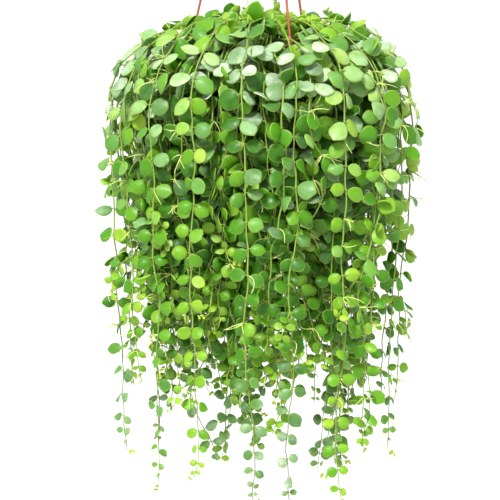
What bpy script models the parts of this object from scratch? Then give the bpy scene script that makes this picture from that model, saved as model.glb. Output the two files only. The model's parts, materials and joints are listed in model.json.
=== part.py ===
# Potted string of nickels: a round plastic pot on a hanger with three strands. Leafy stems rise from
# holes in the potting mix, arch over the rim on every side and hang in a curtain of round, fleshy leaves.
# Metres, +Z up. The origin is the seat inside the hook, and the front of the plant faces -Y.
import math
import random

import bmesh
import bpy
import numpy as np
from mathutils import Matrix, Vector
from mathutils.geometry import interpolate_bezier

# Clearance between solids that touch
GAP = 0.0003

# Pot: the top of its rim is at RIM_Z, and other heights of the pot, the mix and the stems are from there
RIM_Z = -0.335
POT_DEPTH = 0.135
MOUTH_RADIUS = 0.0645
BASE_RADIUS = 0.049
WALL = 0.0018
FLOOR = 0.002
FLANGE_RADIUS = 0.0745
FLANGE = 0.002
LIP_DEPTH = 0.008
DRAIN_COUNT = 6
DRAIN_RADIUS = 0.004
DRAIN_CIRCLE = 0.030
POT_STEPS = 30

# Potting mix: its middle, its edge and the floor of its stem holes
MIX_TOP = -0.009
MIX_EDGE = -0.0145
HOLE_FLOOR = -0.026
HOLE_RADIUS = 0.00172

# Hanger: a question-mark hook on a hub, and three strands that end in clips on the rim
HOOK_WIRE = 0.0024
HOOK_BEND = 0.0144
HOOK_ARC = (math.radians(-60), math.radians(190))
HUB_TOP = -0.036
HUB_HEIGHT = 0.011
HUB_RADIUS = 0.0085
HUB_STEPS = 20
STRAND_WIRE = 0.00125
STRAND_CIRCLE = 0.0695
STRAND_AT_HUB = 0.0042
STRAND_SOCKET = 0.0055
STRAND_BEND = 0.010
STRAND_AZIMUTHS = {"front": 22.3, "left": 262.3, "back": 142.3}
CLIP_HEIGHT = 0.009
CLIP_RADIUS = 0.0030
CLIP_NECK = 0.0020
BUTTON_HEIGHT = 0.003
BUTTON_RADIUS = 0.0027
BUTTON_TIP = 0.0013

# Leaves: full length at the rim, how much shorter they are at SHRINK_DEPTH, and the shape of a blade
STEM_WIRE = 0.0009
LEAF_LENGTH = 0.0188
LEAF_SHRINK = 0.0078
SHRINK_DEPTH = 0.45
LEAF_WIDTH = 0.96
LEAF_THICK = 0.0024
LEAF_CROWN = 0.42
LEAF_POINT = 0.05
YOUNG_LEAF = 0.0085
LEAF_GAP = 0.0024
# From a growing tip back: the first steps between leaf pairs, the young leaves' sizes and the full step
TIP_STEPS = (0.004, 0.010, 0.014, 0.019)
YOUNG_SIZES = (0.42, 0.62, 0.78, 0.9)
SPRIG_STEPS = (0.003, 0.008, 0.011, 0.014)
SPRIG_SIZES = (0.55, 0.8, 0.95)
INTERNODE = 0.0245

# Each layer of stems: how many, the first one's azimuth in degrees, the circle that they root on, the
# crest of the arch, the circle that they hang straight down from, and the shortest and longest drop
LAYERS = {
    "outer": {
        "count": 18, "azimuth": 12.3, "root": 0.030, "crest": (0.062, 0.029),
        "hang": (0.148, -0.068), "drop": (0.300, 0.420), "leaf_every": 3,
    },
    "middle": {
        "count": 12, "azimuth": 7.3, "root": 0.043, "crest": (0.066, 0.017),
        "hang": (0.116, -0.050), "drop": (0.240, 0.340), "leaf_every": 6,
    },
    "inner": {
        "count": 6, "azimuth": 52.3, "root": 0.054, "crest": (0.071, 0.008),
        "hang": (0.090, -0.025), "drop": (0.200, 0.300), "leaf_every": 6,
    },
}
# The drops of the trails that show at the front, by the number of the outer stem
FRONT_DROPS = {0: 0.441, 1: 0.453, 2: 0.387, 3: 0.395, 4: 0.352, 14: 0.325, 15: 0.420, 16: 0.412, 17: 0.430}
# Upright sprigs that round off the top: circle, how many, first azimuth, lean outwards, height
SPRIG_RINGS = ((0.009, 3, 52.3, 0.006, 0.036), (0.021, 6, 22.3, 0.013, 0.030))
STEM_SPACING = 0.056
ARCH_FULLNESS = 0.55
END_PULL_IN = 0.1


def material(name, colour, roughness):
    finish = bpy.data.materials.new(name)
    finish.use_nodes = True
    shader = finish.node_tree.nodes["Principled BSDF"]
    shader.inputs["Base Color"].default_value = (*colour, 1.0)
    shader.inputs["Roughness"].default_value = roughness
    shader.inputs["Metallic"].default_value = 0.0
    finish.diffuse_color = (*colour, 1.0)
    return finish


def add_object(name, data, collection, finish=None):
    piece = bpy.data.objects.new(name, data)
    collection.objects.link(piece)
    if finish is not None:
        data.materials.append(finish)
    return piece


def applied(piece):
    """The piece with its modifiers applied, or its curve made a mesh with welded caps."""
    bpy.context.view_layer.update()
    mesh = bpy.data.meshes.new_from_object(piece.evaluated_get(bpy.context.evaluated_depsgraph_get()))
    if piece.type == "CURVE":
        shape = bmesh.new()
        shape.from_mesh(mesh)
        bmesh.ops.remove_doubles(shape, verts=shape.verts, dist=0.00001)
        bmesh.ops.recalc_face_normals(shape, faces=shape.faces)
        shape.to_mesh(mesh)
        shape.free()
    name = piece.name
    solid = bpy.data.objects.new(name, mesh)
    solid.matrix_world = piece.matrix_world
    for home in piece.users_collection:
        home.objects.link(solid)
    bpy.data.objects.remove(piece)
    solid.name = name
    return solid


def smooth(piece, degrees):
    piece.data.shade_smooth()
    piece.data.set_sharp_from_angle(angle=math.radians(degrees))


def turned(name, profile, collection, finish, steps=POT_STEPS):
    """A round solid from (radius, height) points that run down its outer side."""
    mesh = bpy.data.meshes.new(name)
    points = [(radius, 0.0, height) for radius, height in profile]
    mesh.from_pydata(points, [(i, i + 1) for i in range(len(points) - 1)], [])
    piece = add_object(name, mesh, collection, finish)
    screw = piece.modifiers.new("turn", "SCREW")
    screw.steps = steps
    screw.render_steps = steps
    screw.use_merge_vertices = True
    screw.merge_threshold = 0.00001
    piece = applied(piece)
    smooth(piece, 35)
    return piece


def tube(name, points, radius, collection, finish, resolution=2):
    """A round bar along points, closed at both ends."""
    curve = bpy.data.curves.new(name, "CURVE")
    curve.dimensions = "3D"
    curve.bevel_depth = radius
    curve.bevel_resolution = resolution
    curve.use_fill_caps = True
    spline = curve.splines.new("POLY")
    spline.points.add(len(points) - 1)
    for knot, point in zip(spline.points, points):
        knot.co = (*point, 1.0)
    piece = applied(add_object(name, curve, collection, finish))
    smooth(piece, 50)
    return piece


def cone(name, low_radius, high_radius, height, low_end, collection, sides=8, axis=(0, 0, 1)):
    """A cylinder or cone that starts at low_end and runs along axis."""
    mesh = bpy.data.meshes.new(name)
    shape = bmesh.new()
    bmesh.ops.create_cone(
        shape, cap_ends=True, segments=sides, radius1=low_radius, radius2=high_radius, depth=height
    )
    bmesh.ops.translate(shape, verts=shape.verts, vec=(0, 0, height / 2))
    shape.to_mesh(mesh)
    shape.free()
    turn = Vector((0, 0, 1)).rotation_difference(Vector(axis)).to_matrix().to_4x4()
    mesh.transform(Matrix.Translation(Vector(low_end)) @ turn)
    return add_object(name, mesh, collection)


def combine(body, pieces, operation, solver="EXACT"):
    """Joins the pieces to the body or cuts them from it, all at once, and removes them."""
    bunch = bpy.data.collections.new(body.name + "_tools")
    bpy.context.scene.collection.children.link(bunch)
    for piece in pieces:
        for home in piece.users_collection:
            home.objects.unlink(piece)
        bunch.objects.link(piece)
        piece.hide_render = True
        piece.display_type = "WIRE"
    boolean = body.modifiers.new("combine", "BOOLEAN")
    boolean.operation = operation
    boolean.operand_type = "COLLECTION"
    boolean.collection = bunch
    boolean.solver = solver
    body = applied(body)
    for piece in pieces:
        bpy.data.objects.remove(piece)
    bpy.data.collections.remove(bunch)
    return body


def around(azimuth, radius, height):
    """The point at an azimuth in radians, which is 0 at the front and grows towards +X."""
    return Vector((radius * math.sin(azimuth), -radius * math.cos(azimuth), height))


# Pot and potting mix


def inner_radius(height):
    """Inside radius of the pot at a height, which is negative below the rim."""
    taper = (MOUTH_RADIUS - BASE_RADIUS + WALL) / (POT_DEPTH - FLOOR)
    return MOUTH_RADIUS + taper * height


def make_pot(collection, finish):
    floor_top = -POT_DEPTH + FLOOR
    lip_inside = FLANGE_RADIUS - WALL
    profile = (
        (0, floor_top),
        (BASE_RADIUS - WALL, floor_top),
        (MOUTH_RADIUS, 0),
        (FLANGE_RADIUS, 0),
        (FLANGE_RADIUS, -LIP_DEPTH),
        (lip_inside, -LIP_DEPTH),
        (lip_inside, -FLANGE),
        (MOUTH_RADIUS + WALL, -FLANGE),
        (BASE_RADIUS, -POT_DEPTH),
        (0, -POT_DEPTH),
    )
    pot = turned("pot", profile, collection, finish)
    cutters = []
    for number in range(DRAIN_COUNT):
        low_end = around(math.tau * number / DRAIN_COUNT, DRAIN_CIRCLE, -POT_DEPTH - FLOOR)
        cutters.append(cone("drain", DRAIN_RADIUS, DRAIN_RADIUS, 3 * FLOOR, low_end, collection))
    strand_hole = STRAND_WIRE + GAP + 0.0001
    for degrees in STRAND_AZIMUTHS.values():
        low_end = around(math.radians(degrees), STRAND_CIRCLE, -2 * FLANGE)
        cutters.append(cone("strand_hole", strand_hole, strand_hole, 3 * FLANGE, low_end, collection))
    return combine(pot, cutters, "DIFFERENCE")


def make_mix(collection, finish, stems):
    """The root ball, which fills the pot, with a plain hole for each stem."""
    bottom = -POT_DEPTH + FLOOR + GAP
    edge = inner_radius(MIX_EDGE) - GAP
    profile = (
        (0, MIX_TOP),
        (edge * 0.6, MIX_TOP - 0.001),
        (edge * 0.9, MIX_TOP - 0.0025),
        (edge, MIX_EDGE),
        (inner_radius(bottom) - GAP, bottom),
        (0, bottom),
    )
    mix = turned("potting_mix", profile, collection, finish)
    cutters = []
    for stem in stems:
        low_end = around(stem["azimuth"], stem["root"], HOLE_FLOOR)
        cutters.append(cone("stem_hole", HOLE_RADIUS, HOLE_RADIUS, -HOLE_FLOOR, low_end, collection, sides=4))
    return combine(mix, cutters, "DIFFERENCE")


# Hanger, with heights measured from the hook's seat


def strand_line():
    """Where a strand leaves the hub, where it turns upright over the rim, and its direction between."""
    hub_foot = Vector((STRAND_AT_HUB, HUB_TOP - HUB_HEIGHT))
    rim_bend = Vector((STRAND_CIRCLE, RIM_Z + STRAND_BEND))
    return hub_foot, rim_bend, (rim_bend - hub_foot).normalized()


def make_hook(collection, finish):
    """A question-mark hook, whose seat is the origin, on a hub with a blind socket for each strand."""
    centre = Vector((0, 0, HOOK_WIRE - HOOK_BEND))
    start, end = HOOK_ARC
    steps = 13
    bend = []
    for step in range(steps + 1):
        angle = start + (end - start) * step / steps
        bend.append(centre + HOOK_BEND * Vector((math.cos(angle), 0, math.sin(angle))))
    neck_foot = Vector((0, 0, HUB_TOP))
    rise = Vector((0, 0, HOOK_BEND / 3))
    into_bend = HOOK_BEND / 3 * Vector((-math.sin(start), 0, math.cos(start)))
    neck = interpolate_bezier(neck_foot, neck_foot + rise, bend[0] - into_bend, bend[0], 5)
    inside_hub = Vector((0, 0, HUB_TOP - HUB_HEIGHT / 2))
    hook = tube("hanger_hook", [inside_hub, *neck, *bend[1:]], HOOK_WIRE, collection, finish)
    hub_profile = (
        (0, HUB_TOP),
        (HUB_RADIUS * 0.7, HUB_TOP),
        (HUB_RADIUS, HUB_TOP - HUB_HEIGHT * 0.3),
        (HUB_RADIUS, HUB_TOP - HUB_HEIGHT * 0.6),
        (HUB_RADIUS * 0.8, HUB_TOP - HUB_HEIGHT),
        (0, HUB_TOP - HUB_HEIGHT),
    )
    hub = turned("hub", hub_profile, collection, finish, steps=HUB_STEPS)
    hook = combine(hook, [hub], "UNION")
    hub_foot, _, run = strand_line()
    bore = STRAND_WIRE + GAP
    sockets = []
    for degrees in STRAND_AZIMUTHS.values():
        azimuth = math.radians(degrees)
        mouth = around(azimuth, *(hub_foot + run * STRAND_SOCKET))
        axis = around(azimuth, *(hub_foot - run * (STRAND_SOCKET + GAP))) - mouth
        sockets.append(cone("socket", bore, bore, axis.length, mouth, collection, axis=axis))
    return combine(hook, sockets, "DIFFERENCE")


def make_strand(name, degrees, collection, finish):
    """A thin rod from its socket in the hub to the rim, with a clip above the rim and a button below it."""
    azimuth = math.radians(degrees)
    hub_foot, rim_bend, run = strand_line()
    button_low = RIM_Z - FLANGE - GAP - BUTTON_HEIGHT
    ease = STRAND_BEND / 3
    route = [
        around(azimuth, *(hub_foot - run * STRAND_SOCKET)),
        around(azimuth, *(rim_bend - run * ease)),
        around(azimuth, STRAND_CIRCLE, rim_bend.y - ease),
        around(azimuth, STRAND_CIRCLE, button_low + BUTTON_HEIGHT / 3),
    ]
    strand = tube(name, route, STRAND_WIRE, collection, finish)
    clip_foot = around(azimuth, STRAND_CIRCLE, RIM_Z + GAP)
    clip = cone("clip", CLIP_RADIUS, CLIP_NECK, CLIP_HEIGHT, clip_foot, collection)
    button_foot = around(azimuth, STRAND_CIRCLE, button_low)
    button = cone("button", BUTTON_TIP, BUTTON_RADIUS, BUTTON_HEIGHT, button_foot, collection)
    return combine(strand, [clip, button], "UNION")


# Stems: a route is a list of points measured from the middle of the rim


def stem_plan():
    """Every stem in planting order, with the draws that shape it. Each has its own seed."""
    stems = []
    for layer, sizes in LAYERS.items():
        for number in range(sizes["count"]):
            draw = random.Random(f"{layer} {number}")
            drop = draw.uniform(*sizes["drop"])
            if layer == "outer":
                drop = FRONT_DROPS.get(number, drop)
            stems.append({
                "name": f"stem_{layer}_{number + 1:02d}",
                "azimuth": math.radians(sizes["azimuth"] + 360 * number / sizes["count"]),
                "root": sizes["root"],
                "crest": (sizes["crest"][0], sizes["crest"][1] + draw.uniform(-0.002, 0.002)),
                "hang": (sizes["hang"][0] + draw.uniform(-0.007, 0.007), sizes["hang"][1]),
                "drop": drop,
                "sway": draw.uniform(0.002, 0.005),
                "wave": draw.uniform(0.14, 0.24),
                "phase": draw.uniform(0, math.tau),
                "drift": draw.uniform(-0.03, 0.03),
                "leaf_every": sizes["leaf_every"],
            })
    sprig_count = 0
    for circle, count, first, lean, height in SPRIG_RINGS:
        for number in range(count):
            draw = random.Random(f"sprig {circle} {number}")
            sprig_count += 1
            stems.append({
                "name": f"sprig_{sprig_count:02d}",
                "azimuth": math.radians(first + 360 * number / count),
                "root": circle,
                "tip": (circle + lean * draw.uniform(0.6, 1.4), height * draw.uniform(0.85, 1.15)),
                "leaf_every": 1,
            })
    return stems


def bend_points(start, corner, end, count):
    """Points on a bend that leaves start towards the corner and reaches end from it."""
    leaving = start.lerp(corner, ARCH_FULLNESS)
    reaching = end.lerp(corner, ARCH_FULLNESS)
    return interpolate_bezier(start, leaving, reaching, end, count)


def stem_profile(stem):
    """The stem's radius and height along its length, in its own upright plane, before it sways."""
    root = Vector((stem["root"], HOLE_FLOOR + GAP, 0))
    soil = Vector((stem["root"], MIX_TOP, 0))
    if "tip" in stem:
        tip = Vector((*stem["tip"], 0))
        return [root, *bend_points(soil, Vector((soil.x, tip.y / 2, 0)), tip, 5)]
    crest = Vector((*stem["crest"], 0))
    hang = Vector((*stem["hang"], 0))
    rise = bend_points(soil, Vector((soil.x, crest.y, 0)), crest, 4)
    fall = bend_points(crest, Vector((hang.x, crest.y, 0)), hang, 6)
    left = stem["drop"] + hang.y
    count = max(2, round(left / STEM_SPACING))
    straight = []
    for step in range(1, count + 1):
        share = step / count
        straight.append(Vector((hang.x * (1 - END_PULL_IN * share), hang.y - left * share, 0)))
    return [root, *rise, *fall[1:], *straight]


def stem_route(stem):
    """The stem's points in space. It sways more the further it hangs."""
    route = []
    for radius, height, _ in stem_profile(stem):
        azimuth = stem["azimuth"]
        if "drop" in stem:
            below = max(0.0, stem["hang"][1] - height)
            swing = stem["sway"] * math.sin(math.tau * below / stem["wave"] + stem["phase"])
            azimuth += (swing * min(1.0, below / 0.08) + stem["drift"] * below) / radius
        route.append(around(azimuth, radius, height))
    return route


def point_on(route, distance_from_tip):
    """Point and growing direction at a distance from the stem's tip, or None past its root."""
    left = distance_from_tip
    for tip_side, root_side in zip(route[::-1], route[-2::-1]):
        step = (tip_side - root_side).length
        if left <= step:
            return tip_side.lerp(root_side, left / step), (tip_side - root_side).normalized()
        left -= step
    return None


def in_pot(point):
    return point.z < 0.004 and math.hypot(point.x, point.y) < FLANGE_RADIUS


def leaf_places(stem, route):
    """Pairs of leaves along a stem from its tip to its root, as root, axis, normal and length."""
    draw = random.Random(stem["name"])
    upward = Vector((0, 0, 1))
    upright = "tip" in stem
    steps = SPRIG_STEPS if upright else TIP_STEPS
    young_sizes = SPRIG_SIZES if upright else YOUNG_SIZES
    pairs = []
    distance = 0.0
    while True:
        order = len(pairs)
        distance += steps[order] if order < len(steps) else INTERNODE * draw.uniform(0.9, 1.1)
        found = point_on(route, distance)
        if found is None or in_pot(found[0]):
            return pairs
        place, growth = found
        outward = Vector((place.x, place.y, 0)).normalized()
        facing = (outward - growth * outward.dot(growth)).normalized()
        if upright or outward.dot(growth) > 0.7:
            facing = (facing * 0.3 + upward).normalized()
        sideways = growth.cross(facing).normalized()
        young = young_sizes[order] if order < len(young_sizes) else 1.0
        length = (LEAF_LENGTH + LEAF_SHRINK * min(0.0, place.z) / SHRINK_DEPTH) * young
        turn = math.radians(draw.gauss(0, 22))
        pair = []
        for side in (-1, 1):
            droop = math.radians(draw.uniform(8, 38))
            tilt = math.radians(draw.uniform(10, 35))
            spread = side * (sideways * math.cos(turn) + facing * math.sin(turn))
            axis = (spread * math.cos(droop) + growth * math.sin(droop)).normalized()
            light = facing * math.cos(tilt) + upward * math.sin(tilt)
            normal = (light - axis * light.dot(axis)).normalized()
            pair.append((place, axis, normal, length * draw.uniform(0.92, 1.08)))
        pairs.append(pair)


# Leaves


class Clearance:
    """Keeps each new leaf clear of the pot, the strands, and the stems and leaves of other nodes."""

    def __init__(self):
        self.bars = []
        self.leaves = []

    def add_bar(self, owner, route, radius):
        spacing = 0.003
        for start, end in zip(route, route[1:]):
            count = max(1, round((end - start).length / spacing))
            for step in range(count + 1):
                self.bars.append((*start.lerp(end, step / count), radius, owner))

    def add_leaf(self, owner, leaf):
        self.leaves.append((owner, *self.disc(leaf)))

    @staticmethod
    def disc(leaf):
        """The leaf's middle, normal and radius, and points over it."""
        place, axis, normal, length = leaf
        middle = np.array(place + axis * (length * 0.52))
        across = np.array(normal.cross(axis))
        angles = np.linspace(0, math.tau, 16, endpoint=False)[:, None]
        rim = np.cos(angles) * np.array(axis) + np.sin(angles) * across
        radius = length * 0.54
        points = np.vstack([middle, middle + rim * radius, middle + rim * radius * 0.5])
        return middle, np.array(normal), radius, points

    @staticmethod
    def distances(points, middle, normal, radius):
        """How far each point lies from a flat disc."""
        away = points - middle
        height = away @ normal
        spread = np.sqrt(np.maximum((away**2).sum(-1) - height**2, 0))
        return np.hypot(height, np.maximum(spread - radius, 0))

    def allows(self, owner, leaf):
        middle, normal, radius, points = self.disc(leaf)
        beside = np.hypot(points[:, 0], points[:, 1])
        beside_pot = (points[:, 2] < LEAF_GAP) & (points[:, 2] > -POT_DEPTH - LEAF_GAP)
        if (beside_pot & (beside < FLANGE_RADIUS + LEAF_GAP)).any():
            return False
        bars = np.array(self.bars)
        others = bars[bars[:, 4] != owner]
        apart = self.distances(others[:, :3], middle, normal, radius)
        if (apart < others[:, 3] + LEAF_GAP).any():
            return False
        for other_owner, *other in self.leaves:
            if other_owner == owner or np.linalg.norm(other[0] - middle) > radius + other[2] + LEAF_GAP:
                continue
            mine = self.distances(points, *other[:3]).min()
            theirs = self.distances(other[3], middle, normal, radius).min()
            if min(mine, theirs) < LEAF_GAP:
                return False
        return True


def make_leaf(leaf, collection):
    """A fleshy blade with a flat underside and a raised middle, whose root is sunk to the stem's core."""
    place, axis, normal, length = leaf
    corners = 6 if length < YOUNG_LEAF else 8
    shape = bmesh.new()
    bmesh.ops.create_cone(shape, cap_ends=True, segments=corners, radius1=1.0, radius2=0.0, depth=1.0)
    bmesh.ops.rotate(shape, verts=shape.verts, matrix=Matrix.Rotation(math.pi / 2, 3, "Z"))
    for corner in shape.verts:
        x, y, z = corner.co
        if z > 0:
            corner.co = (LEAF_CROWN, 0, 1)
        else:
            point = LEAF_POINT if x > 0.99 else 0.0
            corner.co = ((x + 1) / 2 + point, y * LEAF_WIDTH / 2 * (1 + 0.1 * x), 0)
    thickness = LEAF_THICK * (0.45 + 0.55 * length / LEAF_LENGTH)
    bmesh.ops.scale(shape, verts=shape.verts, vec=(length, length, thickness))
    mesh = bpy.data.meshes.new("leaf")
    shape.to_mesh(mesh)
    shape.free()
    turn = Matrix((axis, normal.cross(axis), normal)).transposed().to_4x4()
    mesh.transform(Matrix.Translation(place) @ turn)
    return add_object("leaf", mesh, collection)


def make_stem(owner, stem, clearance, collection, finish):
    """A stem with every few pairs of its leaves fused to it, and how many leaves those are."""
    route = stem_route(stem)
    body = tube(stem["name"], route, STEM_WIRE, collection, finish, resolution=0)
    leaves = []
    for pair in leaf_places(stem, route)[:: stem["leaf_every"]]:
        for leaf in pair:
            if clearance.allows(owner, leaf):
                clearance.add_leaf(owner, leaf)
                leaves.append(make_leaf(leaf, collection))
    return combine(body, leaves, "UNION", solver="MANIFOLD"), len(leaves)


def make_clearance(stems):
    """The stems and strands that the leaves keep clear of."""
    clearance = Clearance()
    for owner, stem in enumerate(stems):
        clearance.add_bar(owner, stem_route(stem), STEM_WIRE)
    hub_foot, rim_bend, _ = strand_line()
    for degrees in STRAND_AZIMUTHS.values():
        azimuth = math.radians(degrees)
        above = around(azimuth, hub_foot.x, hub_foot.y - RIM_Z)
        bend = around(azimuth, rim_bend.x, rim_bend.y - RIM_Z)
        clearance.add_bar(-1, [above, bend], STRAND_WIRE)
        clearance.add_bar(-1, [bend, around(azimuth, STRAND_CIRCLE, 0)], CLIP_RADIUS)
    return clearance


def main():
    for old in list(bpy.data.objects):
        bpy.data.objects.remove(old)
    plant = bpy.data.collections.new("potted_string_of_nickels")
    bpy.context.scene.collection.children.link(plant)
    pot_plastic = material("pot_plastic", (0.13, 0.048, 0.03), 0.55)
    hanger_plastic = material("hanger_plastic", (0.30, 0.09, 0.05), 0.45)
    mix_brown = material("potting_mix", (0.05, 0.032, 0.02), 0.95)
    leaf_green = material("leaf_green", (0.13, 0.27, 0.06), 0.4)

    make_hook(plant, hanger_plastic)
    for name, degrees in STRAND_AZIMUTHS.items():
        make_strand(f"hanger_strand_{name}", degrees, plant, hanger_plastic)

    stems = stem_plan()
    from_rim = [make_pot(plant, pot_plastic), make_mix(plant, mix_brown, stems)]
    clearance = make_clearance(stems)
    leaf_count = 0
    for owner, stem in enumerate(stems):
        body, leaves = make_stem(owner, stem, clearance, plant, leaf_green)
        from_rim.append(body)
        leaf_count += leaves
    for piece in from_rim:
        piece.location.z = RIM_Z
    print(len(stems), "stems with", leaf_count, "leaves")


main()
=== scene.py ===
# Potted string of nickels: fine vines, roots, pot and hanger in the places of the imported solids
import json
import math
import random
from itertools import product

import bmesh
import bpy
import numpy as np
from mathutils import Matrix, Vector, noise
from mathutils.geometry import interpolate_bezier
from mathutils.kdtree import KDTree

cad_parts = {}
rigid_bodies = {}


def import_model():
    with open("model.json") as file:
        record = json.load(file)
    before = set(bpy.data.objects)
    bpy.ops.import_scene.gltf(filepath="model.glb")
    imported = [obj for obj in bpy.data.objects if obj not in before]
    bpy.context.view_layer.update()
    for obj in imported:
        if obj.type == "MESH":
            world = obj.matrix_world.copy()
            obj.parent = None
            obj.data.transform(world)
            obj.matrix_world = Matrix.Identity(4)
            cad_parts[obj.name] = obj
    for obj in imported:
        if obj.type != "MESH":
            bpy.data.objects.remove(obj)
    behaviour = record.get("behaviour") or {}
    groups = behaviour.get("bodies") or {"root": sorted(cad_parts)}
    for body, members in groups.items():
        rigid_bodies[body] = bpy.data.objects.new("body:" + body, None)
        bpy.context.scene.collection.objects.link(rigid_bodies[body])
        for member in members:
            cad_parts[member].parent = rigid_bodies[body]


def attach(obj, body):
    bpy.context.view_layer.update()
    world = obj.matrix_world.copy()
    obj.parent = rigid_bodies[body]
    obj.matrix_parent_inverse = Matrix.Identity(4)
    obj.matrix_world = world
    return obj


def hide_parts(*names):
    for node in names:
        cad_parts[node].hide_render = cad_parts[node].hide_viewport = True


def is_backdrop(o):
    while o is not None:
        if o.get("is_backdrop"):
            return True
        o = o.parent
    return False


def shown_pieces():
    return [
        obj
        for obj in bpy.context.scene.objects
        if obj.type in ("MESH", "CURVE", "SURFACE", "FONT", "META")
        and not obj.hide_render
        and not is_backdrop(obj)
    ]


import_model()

scene = bpy.context.scene
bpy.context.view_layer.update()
upward, forward = Vector((0, 0, 1)), Vector((0, 1, 0))
sharpAngle = math.radians(35)
noise.seed_set(3)  # without a seed, noise_vector differs from run to run


def clamp(value, low=0.0):
    return min(1.0, max(low, value))


def between(limits, share):
    low, high = limits
    return low + (high - low) * share


def newPiece(name, data, finish=None):
    data.name = name
    piece = bpy.data.objects.new(name, data)
    scene.collection.objects.link(piece)
    if finish:
        data.materials.append(finish)
    return piece


# Camera, level with the plant and a little above it
cameraSettings = {"distance": 2.6, "elevation": 6.0, "frameWidth": 0.5, "aim": Vector((-0.012, 0, -0.540)),
                  "sensor": 36, "farthest": 2000}


def placeCamera(settings):
    camera = newPiece("camera", bpy.data.cameras.new("camera"))
    tilt = math.radians(settings["elevation"])
    back = Vector((0, -math.cos(tilt), math.sin(tilt)))
    camera.location = settings["aim"] + back * settings["distance"]
    camera.rotation_euler = back.to_track_quat("Z", "Y").to_euler()
    camera.data.sensor_width = settings["sensor"]
    camera.data.lens = settings["sensor"] * settings["distance"] / settings["frameWidth"]
    camera.data.clip_end = settings["farthest"]
    scene.camera = camera


placeCamera(cameraSettings)


# Node helpers for the finishes and the geometry trees. A source is a node and the number of its output
def node(tree, kind, **settings):
    made = tree.nodes.new(kind)
    for name, value in settings.items():
        setattr(made, name, value)
    return made


def put(made, inputs):
    for entry, value in inputs.items():
        made.inputs[entry].default_value = value
    return made


def wire(tree, start, output, end, entry):
    tree.links.new(start.outputs[output], end.inputs[entry])


def wires(tree, *links):
    for link in links:
        wire(tree, *link)


def ramp(tree, source, stops):
    made = node(tree, "ShaderNodeValToRGB")
    elements = made.color_ramp.elements
    while len(elements) < len(stops):
        elements.new(1.0)
    for element, (position, colour) in zip(elements, stops):
        element.position = position
        element.color = (*colour, 1.0)
    wire(tree, *source, made, 0)
    return made, 0


def blend(tree, first, second, share):
    # First and second are sources or colours, and share is a source or a number
    made = node(tree, "ShaderNodeMix", data_type="RGBA")
    for entry, value in ((6, first), (7, second), (0, share)):
        if isinstance(value, float):
            made.inputs[entry].default_value = value
        elif isinstance(value[0], float):
            made.inputs[entry].default_value = (*value, 1.0)
        else:
            wire(tree, *value, made, entry)
    return made, 2


def stretch(tree, source, low, high, toLow, toHigh):
    made = put(node(tree, "ShaderNodeMapRange"), {1: low, 2: high, 3: toLow, 4: toHigh})
    wire(tree, *source, made, 0)
    return made, 0


def grain(tree, scale, detail=3.0, roughness=0.5):
    made = put(node(tree, "ShaderNodeTexNoise"), {"Scale": scale, "Detail": detail, "Roughness": roughness})
    wire(tree, node(tree, "ShaderNodeTexCoord"), "Object", made, "Vector")
    return made, 0


def painted(tree, name):
    return node(tree, "ShaderNodeAttribute", attribute_name=name), 2


def newFinish(name, roughness, specular):
    finish = bpy.data.materials.new(name)
    finish.use_nodes = True
    shader = finish.node_tree.nodes["Principled BSDF"]
    put(shader, {"Roughness": roughness, "Specular IOR Level": specular})
    return finish, finish.node_tree, shader


def complete(finish, tree, shader, skin, bumps, depth, wear=None):
    # Gives a finish its colour, its relief and, where it varies, its roughness
    wire(tree, *skin, shader, "Base Color")
    if wear:
        wire(tree, *wear, shader, "Roughness")
    relief = put(node(tree, "ShaderNodeBump"), {"Distance": depth})
    wire(tree, *bumps, relief, "Height")
    wire(tree, relief, "Normal", shader, "Normal")
    return finish


# Finishes. Each band is the low and high of the noise, and what they become
leafLook = {
    "deep": (0.020, 0.105, 0.002), "middle": (0.075, 0.260, 0.004), "bright": (0.210, 0.415, 0.018),
    "yellow": (0.370, 0.520, 0.035), "young": (0.340, 0.520, 0.040), "margin": (0.420, 0.600, 0.110),
    # The bloom colour is partly the leaves' own waxy bloom and partly a painted sheen in place of the sky's
    # reflection on upward-facing leaves
    "bloom": (0.620, 0.730, 0.560), "mottle": (0.35, 0.65, 0.0, 0.4), "clouds": (0.3, 0.7, 0.25, 1.0),
    "edge": (0.88, 0.99, 0.0, 0.6), "wear": (0.3, 0.7, 0.32, 0.52), "relief": 0.00012,
    "through": 0.45, "throughColour": (0.7, 1.0, 0.08), "throughDepth": 0.0025,
}
stemLook = {
    "fresh": (0.200, 0.340, 0.026), "old": (0.165, 0.260, 0.040), "woody": (0.105, 0.085, 0.065),
    "streak": (0.290, 0.380, 0.080), "young": (0.320, 0.500, 0.030), "streaks": (0.35, 0.65, 0.0, 0.5),
    "wear": (0.3, 0.7, 0.4, 0.6), "relief": 0.0001,
}
rootLook = {"green": (0.46, 0.58, 0.10), "pale": (0.74, 0.80, 0.30), "relief": 0.0001}
plasticLook = {"dust": (0.30, 0.25, 0.20), "dusty": (0.52, 0.8, 0.0, 0.15), "wear": (-0.08, 0.12),
               "relief": 0.00005}
barkLook = {"damp": (0.010, 0.006, 0.004), "brown": (0.040, 0.024, 0.015), "dry": (0.11, 0.07, 0.042),
            "relief": 0.0006}


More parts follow.
